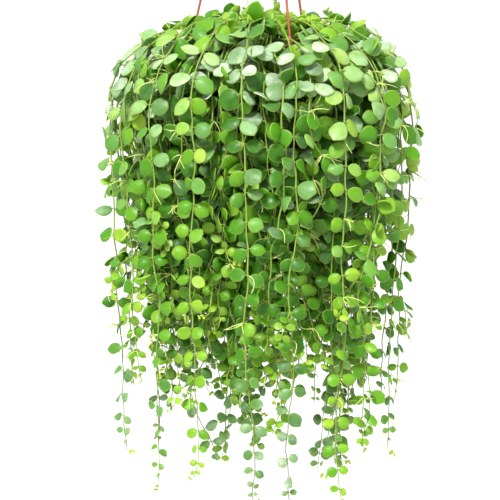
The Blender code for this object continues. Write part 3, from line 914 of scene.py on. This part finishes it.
# All the stems, with a smooth line for each
solidStems = planStems()
allStems = solidStems + planFill(fillSettings)
trails = [Trail(stemRoute(stem), number, stem["wander"]) for number, stem in enumerate(allStems)]
allPairs = [leafPairs(stem, trail, pairSettings) for stem, trail in zip(allStems, trails)]

# Potting mix: an uneven top with a plain hole for each stem, and bark chips strewn over it
mixSettings = {"edge": -0.0145, "gap": 0.0003, "steps": 72, "rings": 14, "crown": 0.0025, "rough": 0.0012,
               "roughness": 140, "hole": 0.0014, "holeDepth": 0.026, "holeSides": 10, "stemRoom": 0.0042}
chipShapes = {"count": 6, "corner": (0.6, 1.1), "width": (0.4, 0.8), "thickness": (0.2, 0.5), "tilt": 0.4}
chipInputs = {"Density": ("Float", 60000.0), "Smallest": ("Float", 0.0012), "Largest": ("Float", 0.0048),
              "Seed": ("Int", 5), "Finish": ("Material", barkMix)}


def makeChips(settings):
    chips = bpy.data.collections.new("chips")
    for number in range(settings["count"]):
        draw = random.Random(f"chip {number}")
        shape = bmesh.new()
        bmesh.ops.create_cube(shape, size=1)
        for corner in shape.verts:
            corner.co = Vector([value * draw.uniform(*settings["corner"]) for value in corner.co])
        size = (1, draw.uniform(*settings["width"]), draw.uniform(*settings["thickness"]))
        bmesh.ops.scale(shape, verts=shape.verts, vec=size)
        chips.objects.link(bpy.data.objects.new(f"chip{number}", meshFrom(shape, f"chip{number}")))
    return chips


def makeChipTree(entries, chips, tilt):
    tree, start, sockets = newTree("strewChips", entries)
    spread = node(tree, "GeometryNodeDistributePointsOnFaces")
    often = node(tree, "ShaderNodeMath", operation="MULTIPLY")
    shapes, placed = strewn(tree)
    put(shapes, {"Collection": chips})
    turn = node(tree, "FunctionNodeRandomValue", data_type="FLOAT_VECTOR")
    put(turn, {0: (-tilt, -tilt, 0.0), 1: (tilt, tilt, math.tau)})
    size = node(tree, "FunctionNodeRandomValue", data_type="FLOAT")
    dressed = node(tree, "GeometryNodeSetMaterial")
    named(tree, "chipRoom", "FLOAT", often, 1)
    wires(tree, (start, "Geometry", spread, "Mesh"), (start, "Density", often, 0),
          (often, 0, spread, "Density"), (start, "Seed", spread, "Seed"), (start, "Seed", size, "Seed"),
          (start, "Smallest", size, 2), (start, "Largest", size, 3), (spread, "Points", placed, "Points"),
          (turn, 0, placed, "Rotation"), (size, 1, placed, "Scale"))
    solid = together(tree, (start, "Geometry"), (placed, "Instances"))
    wires(tree, (solid, "Geometry", dressed, "Geometry"), (start, "Finish", dressed, "Material"),
          (dressed, "Geometry", node(tree, "NodeGroupOutput"), "Geometry"))
    return tree, sockets


def innerRadius(height, gap):
    # The pot's inner radius at a height, less a gap
    taper = (pot["mouth"] - pot["base"] + pot["wall"]) / (pot["depth"] - pot["floor"])
    return pot["mouth"] + taper * height - gap


def makeMix(settings, stems):
    gap, low = settings["gap"], settings["edge"]
    bottom = pot["floor"] - pot["depth"] + gap
    edge, rings = innerRadius(low, gap), settings["rings"]
    surface = [(edge * step / rings, plant["mixTop"] - settings["crown"] * (step / (rings * 0.9))**2)
               for step in range(rings)]
    profile = [*surface, (edge, low), (innerRadius(bottom, gap), bottom), (0, bottom)]
    mesh = turnedMesh("mixFine", profile, settings["steps"])
    for corner in mesh.vertices:
        if corner.co.z > low + 0.0005 and corner.co.xy.length < edge - 0.002:
            corner.co.z += settings["rough"] * noise.noise(corner.co * settings["roughness"])
    piece = newPiece("mixFine", mesh, barkMix)
    holes = []
    for stem in stems:
        place = around(stem["azimuth"], stem["root"], plant["holeFloor"] - gap)
        holes.append(cutter(settings["hole"], settings["holeDepth"], place, sides=settings["holeSides"]))
    combined(piece, holes, "DIFFERENCE")
    mesh = piece.data
    layer = mesh.attributes.new("chipRoom", "FLOAT", "POINT")
    roots = [around(stem["azimuth"], stem["root"], 0).xy for stem in stems]
    for corner, entry in zip(mesh.vertices, layer.data):
        free = min((corner.co.xy - root).length for root in roots) > settings["stemRoom"]
        entry.value = float(free and corner.co.z > low + 0.002 and corner.co.xy.length < edge - 0.003)
    chips = makeChips(chipShapes)
    useTree(piece, *makeChipTree(chipInputs, chips, chipShapes["tilt"]), chipInputs)
    settled = settle(piece)
    settled.attributes.remove(settled.attributes["chipRoom"])
    settled.transform(Matrix.Translation((0, 0, plant["rise"])))
    discard(chips)
    giveToFrame(piece, "potting_mix", "potting_mix")


makeMix(mixSettings, allStems)
print("potting mix made")

# Room for leaves: a new leaf keeps clear of the pot, the rods, other stems and the leaves already there
roomSettings = {
    "gap": 0.0008, "least": 0.0002, "firmGap": 0.0018, "lineGap": 0.0011, "barGap": 0.0009, "most": 0.01,
    "cell": 0.026, "tries": 9, "spacing": 0.005, "leafMiddle": 0.56, "leafHalf": 0.5, "potGap": (0.001, 0.0006),
    "widest": (0.146, 0.168), "shoulder": 0.120, "dome": (0.040, 2.0, 0.0055),
    "domeWaves": ((3, 1), (7, 0), (12, 2)), "strandSight": (0.0185, 0.0335, -0.040, 0.004),
    "shrinking": 0.025, "loosening": 0.12, "rodSteps": 60, "ringSpots": 12, "innerRing": 0.55,
}


class Room:
    # The bars and leaves that are in the way, and how far a new leaf is from them

    def __init__(self, trails, settings):
        self.settings = settings
        self.cells = {}
        self.bars = []
        for owner, trail in enumerate(trails):
            for index, length in enumerate(trail.lengths):
                count = max(1, round(length / settings["spacing"]))
                self.bars += [(trail.at(index, step / count), owner) for step in range(count)]
        foot, bend, _ = rodLine(hanger)
        for azimuth in hanger["azimuths"].values():
            for step in range(settings["rodSteps"]):
                radius, height = bend.lerp(foot, step / settings["rodSteps"] / 2)
                self.bars.append((around(azimuth, radius, height - plant["rise"]), -1))
        self.tree = KDTree(len(self.bars))
        for i, (point, _) in enumerate(self.bars):
            self.tree.insert(point, i)
        self.tree.balance()
        angles = np.linspace(0, math.tau, settings["ringSpots"], endpoint=False)
        ring = np.stack([np.cos(angles), np.sin(angles)], 1)
        self.spots = np.concatenate([ring, ring * settings["innerRing"], [[0, 0]]])

    def disc(self, place, axis, normal, length):
        # Middle, normal, radius and points of a leaf
        middle = np.array(place + axis * (length * self.settings["leafMiddle"]))
        across = np.array(normal.cross(axis))
        radius = length * self.settings["leafHalf"]
        points = middle + radius * (self.spots[:, :1] * np.array(axis) + self.spots[:, 1:] * across)
        return middle, np.array(normal), radius, points

    def cellOf(self, place):
        return tuple(math.floor(value / self.settings["cell"]) for value in place)

    def near(self, middle):
        x, y, z = self.cellOf(middle)
        for right, back, up in product((-1, 0, 1), repeat=3):
            yield from self.cells.get((x + right, y + back, z + up), ())

    @staticmethod
    def apart(points, middle, normal, radius):
        # Distance from points to a flat round disc
        away = points - middle
        height = away @ normal
        beside = np.sqrt(np.maximum((away**2).sum(-1) - height**2, 0))
        return np.hypot(height, np.maximum(beside - radius, 0)).min()

    def outside(self, middle, points):
        # Whether a leaf is past the widest outline or the crown, or hides the front strand
        settings = self.settings
        side, front, height = points.T
        beside = np.hypot(side, front)
        crown, fall, bumps = settings["dome"]
        turn = math.atan2(middle[1], middle[0])
        crown += bumps * sum(math.sin(count * turn + shift) for count, shift in settings["domeWaves"])
        left, right, sight, low = settings["strandSight"]
        tooWide = beside > between(settings["widest"], np.clip(-height / settings["shoulder"], 0, 1))
        hides = (side > left) & (side < right) & (front < sight) & (height > low)
        return (tooWide | (height > crown - fall * beside**2) | hides).any()

    def clearance(self, disc, owner):
        middle, normal, radius, points = disc
        above, beyond = self.settings["potGap"]
        level = (points[:, 2] < above) & (points[:, 2] > plant["underside"])
        if (level & (np.hypot(points[:, 0], points[:, 1]) < plant["flange"] + beyond)).any():
            return -1.0
        if self.outside(middle, points):
            return -0.5
        least = self.settings["most"]
        close = self.tree.find_range(middle, radius + 0.001)
        bars = [self.bars[i][0] for _, i, _ in close if self.bars[i][1] != owner]
        if bars:
            least = self.apart(np.array(bars), middle, normal, radius) - self.settings["barGap"]
        for other in self.near(middle):
            if np.linalg.norm(other[0] - middle) < radius + other[2]:
                least = min(least, self.apart(points, *other[:3]), self.apart(other[3], middle, normal, radius))
        return least

    def free(self, points):
        # Whether a thin line keeps off the leaves, apart from its first end, and inside the widest outline
        spots = [start.lerp(end, share) for start, end in zip(points, points[1:]) for share in (0.4, 0.7, 1.0)]
        spots = np.array(spots)
        if np.hypot(spots[:, 0], spots[:, 1]).max() > self.settings["widest"][1]:
            return False
        gap = self.settings["lineGap"]
        return not any(self.apart(spot[None], *other[:3]) < gap for spot in spots for other in self.near(spot))

    def take(self, disc):
        self.cells.setdefault(self.cellOf(disc[0]), []).append(disc)


room = Room(trails, roomSettings)


# How leaves turn to find room, in degrees. For turn, droop and tilt, a value comes with what looseness adds
turning = {"swing": 38, "lean": (0.2, 2.6), "looseLean": 2.4, "towardsFront": (0.3, 2.6), "turn": (20, 16),
           "droop": ((8, -20), (38, 30)), "tilt": ((10, -28), (35, 12))}
# Size and looseness of the leaves of each kind of stem
settleSettings = {"sizes": (0.9, 1.08), "broad": 0.16, "broadDepth": 0.2, "solid": (1.06, 0.4),
                  "fill": (1.1, 0.9), "spur": (1.0, 0.5)}


def turnedLeaf(draw, pair, side, length, loose):
    # Another way for a leaf of a pair to stand, further from the rule as loose grows
    growth, outward = pair["growth"], pair["outward"]
    swing = Matrix.Rotation(math.radians(draw.gauss(0, turning["swing"])) * loose, 3, upward)
    lean = draw.uniform(0, turning["looseLean"]) * loose + draw.uniform(*turning["lean"]) * (1 + growth.z)
    light = swing @ (pair["facing"] + outward * lean)
    light = (light - forward * (draw.uniform(*turning["towardsFront"]) * outward.x**2)).normalized()
    facing = squared(light, growth)
    sideways = growth.cross(facing).normalized()
    firm, more = turning["turn"]
    turn = math.radians(draw.gauss(0, firm + more * loose))
    droop, tilt = (math.radians(draw.uniform(*(value + more * loose for value, more in turning[name])))
                   for name in ("droop", "tilt"))
    return (*leafAcross(side * swung(sideways, facing, turn), growth, light, droop, tilt), length)


def findRoom(draw, owner, pair, side, leaf, loose):
    # The first way to stand that has enough room, or the roomiest of a few
    if loose:
        leaf = turnedLeaf(draw, pair, side, leaf[2], loose)
    best = room.clearance(room.disc(pair["place"], *leaf), owner), leaf
    for attempt in range(1, roomSettings["tries"] + 1):
        if best[0] >= roomSettings["gap"]:
            break
        length = leaf[2] * (1 - roomSettings["shrinking"] * attempt)
        other = turnedLeaf(draw, pair, side, length, loose + roomSettings["loosening"] * attempt)
        clear = room.clearance(room.disc(pair["place"], *other), owner)
        if clear > best[0]:
            best = clear, other
    return best[1] if best[0] >= roomSettings["least"] else None


def settleLeaves(owner, stem, pairs, kind, settings):
    draw = random.Random("room " + stem["name"])
    size, loose = settings[kind]
    for pair in pairs:
        settled = pair.setdefault("settled", {})
        broad = size * (1 + settings["broad"] * max(0.0, 1 + pair["place"].z / settings["broadDepth"]))
        for side, (axis, normal, length) in zip((-1, 1), pair["leaves"]):
            if side in settled:
                continue
            wanted = (axis, normal, length * broad * draw.uniform(*settings["sizes"]))
            leaf = findRoom(draw, owner, pair, side, wanted, loose)
            if leaf:
                settled[side] = leaf
                room.take(room.disc(pair["place"], *leaf))


def settleFirmLeaves(owner, stem, pairs):
    # The leaves that the solids have take their room before the others
    for pair in pairs[:: stem["leafEvery"]]:
        pair["settled"] = {}
        for side, leaf in zip((-1, 1), pair["leaves"]):
            disc = room.disc(pair["place"], *leaf)
            if room.clearance(disc, owner) > (0 if pair["settled"] else roomSettings["firmGap"]):
                pair["settled"][side] = leaf
                room.take(disc)


def bendLine(draw, start, heading, length, pull, steps, curl):
    # A short curved line that leaves along heading and is drawn towards pull
    points = [start]
    twist = Vector([draw.uniform(-1, 1) for _ in range(3)]) * curl
    for _ in range(steps):
        heading = heading.normalized()
        points.append(points[-1] + heading * (length / steps))
        heading = heading + (pull + twist) / steps
    return points


# Stems, stalks, roots and hooked tips. Dulling is where the darker stems turn dull, and over what height
stemSettings = {"radius": 0.00076, "spread": (0.85, 1.25), "thin": 0.55, "thinning": 0.20, "step": 0.010,
                "swelling": 1.5, "knot": 0.0016, "crowding": 1.6, "youngLength": 0.05, "tip": (0.006, 0.018),
                "tipHook": (0.6, 3.2), "tipSteps": 7, "tipCurl": 0.8, "tipLeaf": (0.0046, 0.0022),
                "hooked": (0.2, 0.5), "hookThinning": 0.6, "blunt": 0.5, "tipSpread": (0.8, 1.2), "tipTone": 0.7,
                "dulling": (-0.26, 0.12), "tone": 0.5}
stalkSettings = {"radius": 0.00055, "share": 0.10, "lift": 0.0018, "middle": 0.06, "end": 0.11, "foot": 0.05,
                 "blade": 0.97}
rootSettings = {"chance": (0.28, 0.62), "most": 4, "length": (0.007, 0.024), "radius": 0.00056, "steps": 5,
                "curl": 1.8, "thinning": 0.55, "fork": 0.3, "forkLength": 0.45, "forkCurl": 1.6,
                "past": 0.4, "along": (-0.3, 0.6), "pull": (-0.5, 1.0), "fall": (0.0, 0.9),
                "spread": (0.7, 1.1), "nearTips": (0.42, 0.15, 0.15), "nearCrest": (0.2, 0.05, 0.2)}
# Shaded is how much darker leaves are inside a radius, over what width and over what depth below the rim
# The bloom values set a painted sheen on upward-facing leaves near the top, fading over a depth below the rim;
# dusty adds real bloom to dull vines
leafTones = {"start": 0.12, "vine": 0.60, "spread": 0.18, "dull": 0.7, "youngLength": 0.035, "young": 0.55,
             "shaded": (0.30, 0.140, 0.045, 0.05), "bloom": 1.75, "paintedSheenDepth": 0.25, "crest": (0.018, 0.025),
             "dusty": (0.3, 0.65)}


def dullness(place, vineTone):
    level, over = stemSettings["dulling"]
    return clamp((level - place.z) / over) * max(0.0, 1 - vineTone * 1.2)


def stemMarks(trail, pairs, settings):
    # Places along the stem and how much it swells there, with a knot at each pair
    marks = {(len(trail.lengths) - 1, 1.0): 1.0}
    for index, length in enumerate(trail.lengths):
        count = max(1, round(length / settings["step"]))
        marks.update({(index, step / count): 1.0 for step in range(count)})
    for pair in pairs:
        index, share = pair["mark"]
        reach = settings["knot"] / trail.lengths[index]
        near = settings["crowding"] * reach
        crowded = [mark for mark in marks if mark[0] == index and abs(mark[1] - share) < near and mark[1] < 1]
        for mark in crowded:
            del marks[mark]
        for offset, swell in ((-reach, 1.0), (0.0, settings["swelling"]), (reach, 1.0)):
            if 0.0 <= share + offset < 1.0:
                marks[index, share + offset] = swell
    return sorted(marks.items())


def growStem(skeleton, draw, trail, pairs, vineTone, settings):
    total = sum(trail.lengths)
    passed = np.cumsum([0, *trail.lengths])
    radius = settings["radius"] * draw.uniform(*settings["spread"])
    points, thickness, tone, youth = [], [], [], []
    for (index, share), swell in stemMarks(trail, pairs, settings):
        left = total - passed[index] - share * trail.lengths[index]
        points.append(trail.at(index, share))
        thickness.append(radius * between((settings["thin"], 1), min(1.0, left / settings["thinning"])) * swell)
        low = dullness(points[-1], vineTone)
        tone.append(between((settings["tone"] * vineTone, 1), low))
        youth.append(max(0.0, 1 - left / settings["youngLength"]) * (1 - low))
    heading = (points[-1] - points[-2]).normalized()
    flat = Vector((draw.gauss(0, 1), draw.gauss(0, 1), 0)).normalized()
    pull = (flat + upward * draw.uniform(0.0, 1.0)) * draw.uniform(*settings["tipHook"])
    length, steps = draw.uniform(*settings["tip"]), settings["tipSteps"]
    beyond = bendLine(draw, points[-1], heading, length, pull, steps, settings["tipCurl"])[1:]
    if draw.random() > settings["hooked"][int(points[-1].z < 0)] or not room.free(beyond):
        skeleton.line(points, thickness[:-1] + [thickness[-1] * settings["blunt"]], tone, youth)
        return
    last = thickness[-1]
    thickness += [last * (1 - settings["hookThinning"] * (i + 1) / steps) for i in range(steps)]
    skeleton.line(points + beyond, thickness, tone + tone[-1:] * steps, youth + [1.0] * steps)
    large, small = settings["tipLeaf"]
    for number in range(3, steps, 2):
        heading = (beyond[number] - beyond[number - 1]).normalized()
        sideways = heading.orthogonal().normalized()
        size = large + (small - large) * number / steps
        for side in (-1, 1):
            axis = (heading * 0.9 + sideways * side).normalized()
            length = size * draw.uniform(*settings["tipSpread"])
            skeleton.leaf(beyond[number], axis, heading.cross(sideways), length,
                          leafShape=draw.randrange(leafShapes["count"]), tone=settings["tipTone"], youth=1.0)


def growRoots(skeleton, draw, pair, settings):
    # Roots are rare near the tips and on the crest, and common at the sides
    place, growth, facing = pair["place"], pair["growth"], pair["facing"]
    depth, over, fewest = settings["nearTips"]
    common = clamp((depth + place.z) / over, fewest)
    level, over, fewest = settings["nearCrest"]
    common *= clamp(level - place.z / over, fewest)
    if draw.random() > between(settings["chance"], abs(pair["outward"].x) ** 3) * common:
        return
    sideways = growth.cross(facing).normalized()
    wanted = draw.randint(1, settings["most"])
    for _ in range(3 * wanted):
        turn = draw.uniform(-settings["past"], math.pi + settings["past"])
        heading = swung(sideways, facing, turn) + growth * draw.uniform(*settings["along"])
        length, steps = draw.uniform(*settings["length"]), settings["steps"]
        pull = growth * draw.uniform(*settings["pull"]) - upward * draw.uniform(*settings["fall"])
        points = bendLine(draw, place, heading, length, pull, steps, settings["curl"])
        if not wanted or not room.free(points):
            continue
        wanted -= 1
        radius = settings["radius"] * draw.uniform(*settings["spread"])
        thickness = [radius * (1 - settings["thinning"] * (i / steps) ** 2) for i in range(steps + 1)]
        skeleton.line(points, thickness, isRoot=1)
        if draw.random() < settings["fork"]:
            heading = points[3] - points[2] + Vector([draw.gauss(0, 0.002) for _ in range(3)])
            length *= settings["forkLength"]
            branch = bendLine(draw, points[2], heading, length, pull, 2, settings["forkCurl"])
            if room.free(branch):
                skeleton.line(branch, [value * 0.85 for value in thickness[2:]], isRoot=1)


def growLeaf(skeleton, draw, pair, leaf, vineTone, settings, tones):
    axis, normal, length = leaf
    place = pair["place"]
    crest, over = tones["crest"]
    # Painted sheen: leaves near the top are painted paler the more they face upwards, in place of the sky's
    # reflection; dull low vines add real dusty bloom
    high = max(0.0, 1 + place.z / tones["paintedSheenDepth"]) * clamp((crest - place.z) / over, 0.1)
    low = dullness(place, vineTone)
    youth = max(0.0, 1 - pair["distance"] / tones["youngLength"]) * tones["young"] * (1 - low)
    bloom = tones["bloom"] * high * max(0.0, normal.z) * (0.1 + draw.random()) - 0.08
    bloom = clamp(bloom + low * draw.uniform(*tones["dusty"]))
    shade, radius, inward, depth = tones["shaded"]
    deep = shade * clamp((radius - place.xy.length) / inward) * clamp(-place.z / depth)
    tone = tones["start"] + tones["vine"] * vineTone + draw.gauss(0, tones["spread"])
    tone = clamp(tone * (1 - tones["dull"] * low) - deep)
    lift = normal * settings["lift"]
    foot = place + axis * (length * settings["foot"]) + lift
    skeleton.leaf(foot, axis, normal, length * settings["blade"], leafShape=draw.randrange(leafShapes["count"]),
                  tone=tone, youth=youth, bloom=bloom)
    radius = settings["radius"] * (0.5 + 0.5 * length / plant["leaf"])
    middle = axis * (length * settings["middle"]) + lift * 0.6
    end = axis * (length * (settings["end"] + settings["share"])) + lift
    stalk = [place, place + middle, place + end]
    skeleton.line(stalk, [radius * 1.2, radius, radius * 0.8], vineTone * stemSettings["tone"], youth)


def growVine(skeleton, stem, trail, pairs):
    draw = random.Random("look " + stem["name"])
    vineTone = draw.random()
    growStem(skeleton, draw, trail, pairs, vineTone, stemSettings)
    for pair in pairs:
        for leaf in pair["settled"].values():
            growLeaf(skeleton, draw, pair, leaf, vineTone, stalkSettings, leafTones)
        growRoots(skeleton, draw, pair, rootSettings)
    return sum(len(pair["settled"]) for pair in pairs)


for owner, stem in enumerate(solidStems):
    settleFirmLeaves(owner, stem, allPairs[owner])
for owner, stem in enumerate(allStems):
    settleLeaves(owner, stem, allPairs[owner], "solid" if owner < len(solidStems) else "fill", settleSettings)
print("leaves settled")

# Side branches: short, with small leaves and a hooked tip
spurSettings = {"count": 40, "length": (0.030, 0.065), "spacing": 0.011, "leaf": (0.0085, 0.0135),
                "heights": (-0.33, -0.05), "widest": 0.156, "hangFrom": 0.120, "steps": 6, "curl": 0.8,
                "bare": (0.005, 0.006), "droop": 0.5, "tilt": 0.2, "outward": (0.1, 0.8), "along": 0.5,
                "sideways": (0.5, 1.0), "fall": (0.4, 1.6)}


def planSpur(draw, name, settings):
    # A branch from a node that is far enough out, or None where a leaf is in its way
    owner = draw.randrange(len(trails))
    if "drop" not in allStems[owner] or allStems[owner]["hang"][0] < settings["hangFrom"]:
        return None
    pair = draw.choice(allPairs[owner])
    place, outward = pair["place"], pair["outward"]
    if not settings["heights"][0] < place.z < settings["heights"][1]:
        return None
    heading = outward * draw.uniform(*settings["outward"]) + pair["growth"] * settings["along"]
    heading += pair["growth"].cross(outward) * draw.choice((-1, 1)) * draw.uniform(*settings["sideways"])
    pull = upward * -draw.uniform(*settings["fall"])
    length = draw.uniform(*settings["length"])
    route = bendLine(draw, place, heading, length, pull, settings["steps"], settings["curl"])
    if max(point.xy.length for point in route) > settings["widest"] or not room.free(route):
        return None
    trail = Trail(route, 0, 0.0)
    total = sum(trail.lengths)
    small, large = settings["leaf"]
    distance, bareFoot = settings["bare"]
    pairs = []
    while distance < total - bareFoot:
        found = trail.fromTip(distance)
        growth = found[2]
        facing = squared(outward * 0.8 + upward * 0.5, growth)
        sideways = growth.cross(facing).normalized()
        size = small + (large - small) * distance / total
        leaves = [(*leafAcross(sideways * side, growth, facing, settings["droop"], settings["tilt"]), size)
                  for side in (-1, 1)]
        pairs.append(makePair(trail, found, distance, outward, facing, leaves))
        distance += settings["spacing"] * draw.uniform(0.8, 1.2)
    sector = int(math.atan2(place.x, -place.y) / math.tau % 1 * fillSettings["sectors"])
    return owner, {"name": name, "sector": sector}, trail, pairs


for number in range(spurSettings["count"]):
    spurDraw = random.Random(f"spur {number}")
    found = None
    while not found:
        found = planSpur(spurDraw, f"spur {number}", spurSettings)
    spurOwner, spur, spurTrail, spurPairs = found
    settleLeaves(spurOwner, spur, spurPairs, "spur", settleSettings)
    allStems.append(spur)
    trails.append(spurTrail)
    allPairs.append(spurPairs)

leafCount = 0
sectors = [Skeleton() for _ in range(fillSettings["sectors"])]
for stem, trail, pairs in zip(allStems, trails, allPairs):
    if "sector" in stem:
        leafCount += growVine(sectors[stem["sector"]], stem, trail, pairs)
        continue
    skeleton = Skeleton()
    leafCount += growVine(skeleton, stem, trail, pairs)
    words = stem["name"].split("_")
    giveToFrame(skeleton.grow("fine" + "".join(word.capitalize() for word in words)), "foliage", stem["name"])
for number, skeleton in enumerate(sectors):
    giveToFrame(skeleton.grow(f"fillVines{number + 1}"), "foliage")
print("leaves grown:", leafCount)
discard(leafCollection)

# Studio
studio = {"floor": -1.05, "floorHalf": 400, "dull": 0.66, "pale": 0.70, "sky": 0.80, "sun": 4.6,
          "sunSoftness": 11, "sunTurn": (42, 0, -16)}


def makeStudio(settings):
    half, height = settings["floorHalf"], settings["floor"]
    mesh = bpy.data.meshes.new("floor")
    corners = [(x * half, y * half, height) for x, y in ((-1, -1), (1, -1), (1, 1), (-1, 1))]
    mesh.from_pydata(corners, [], [(0, 1, 2, 3)])
    finish, tree, shader = newFinish("paleFloor", 0.9, 0.2)
    pale = ramp(tree, grain(tree, 3), [(0.3, (settings["dull"],) * 3), (0.7, (settings["pale"],) * 3)])
    wire(tree, *pale, shader, "Base Color")
    newPiece("floor", mesh, finish)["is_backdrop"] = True
    world = bpy.data.worlds.new("sky")
    world.use_nodes = True
    put(world.node_tree.nodes["Background"], {"Color": (1, 1, 1, 1), "Strength": settings["sky"]})
    scene.world = world
    light = bpy.data.lights.new("sun", "SUN")
    light.energy = settings["sun"]
    light.angle = math.radians(settings["sunSoftness"])
    newPiece("sun", light).rotation_euler = [math.radians(angle) for angle in settings["sunTurn"]]
    scene.view_settings.view_transform = "Standard"


makeStudio(studio)
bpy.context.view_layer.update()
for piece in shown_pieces():
    piece.data.calc_loop_triangles()
triangles = {piece.name: len(piece.data.loop_triangles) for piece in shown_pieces()}
print("triangles:", sum(triangles.values()), "most in a piece:", max(triangles.values()))
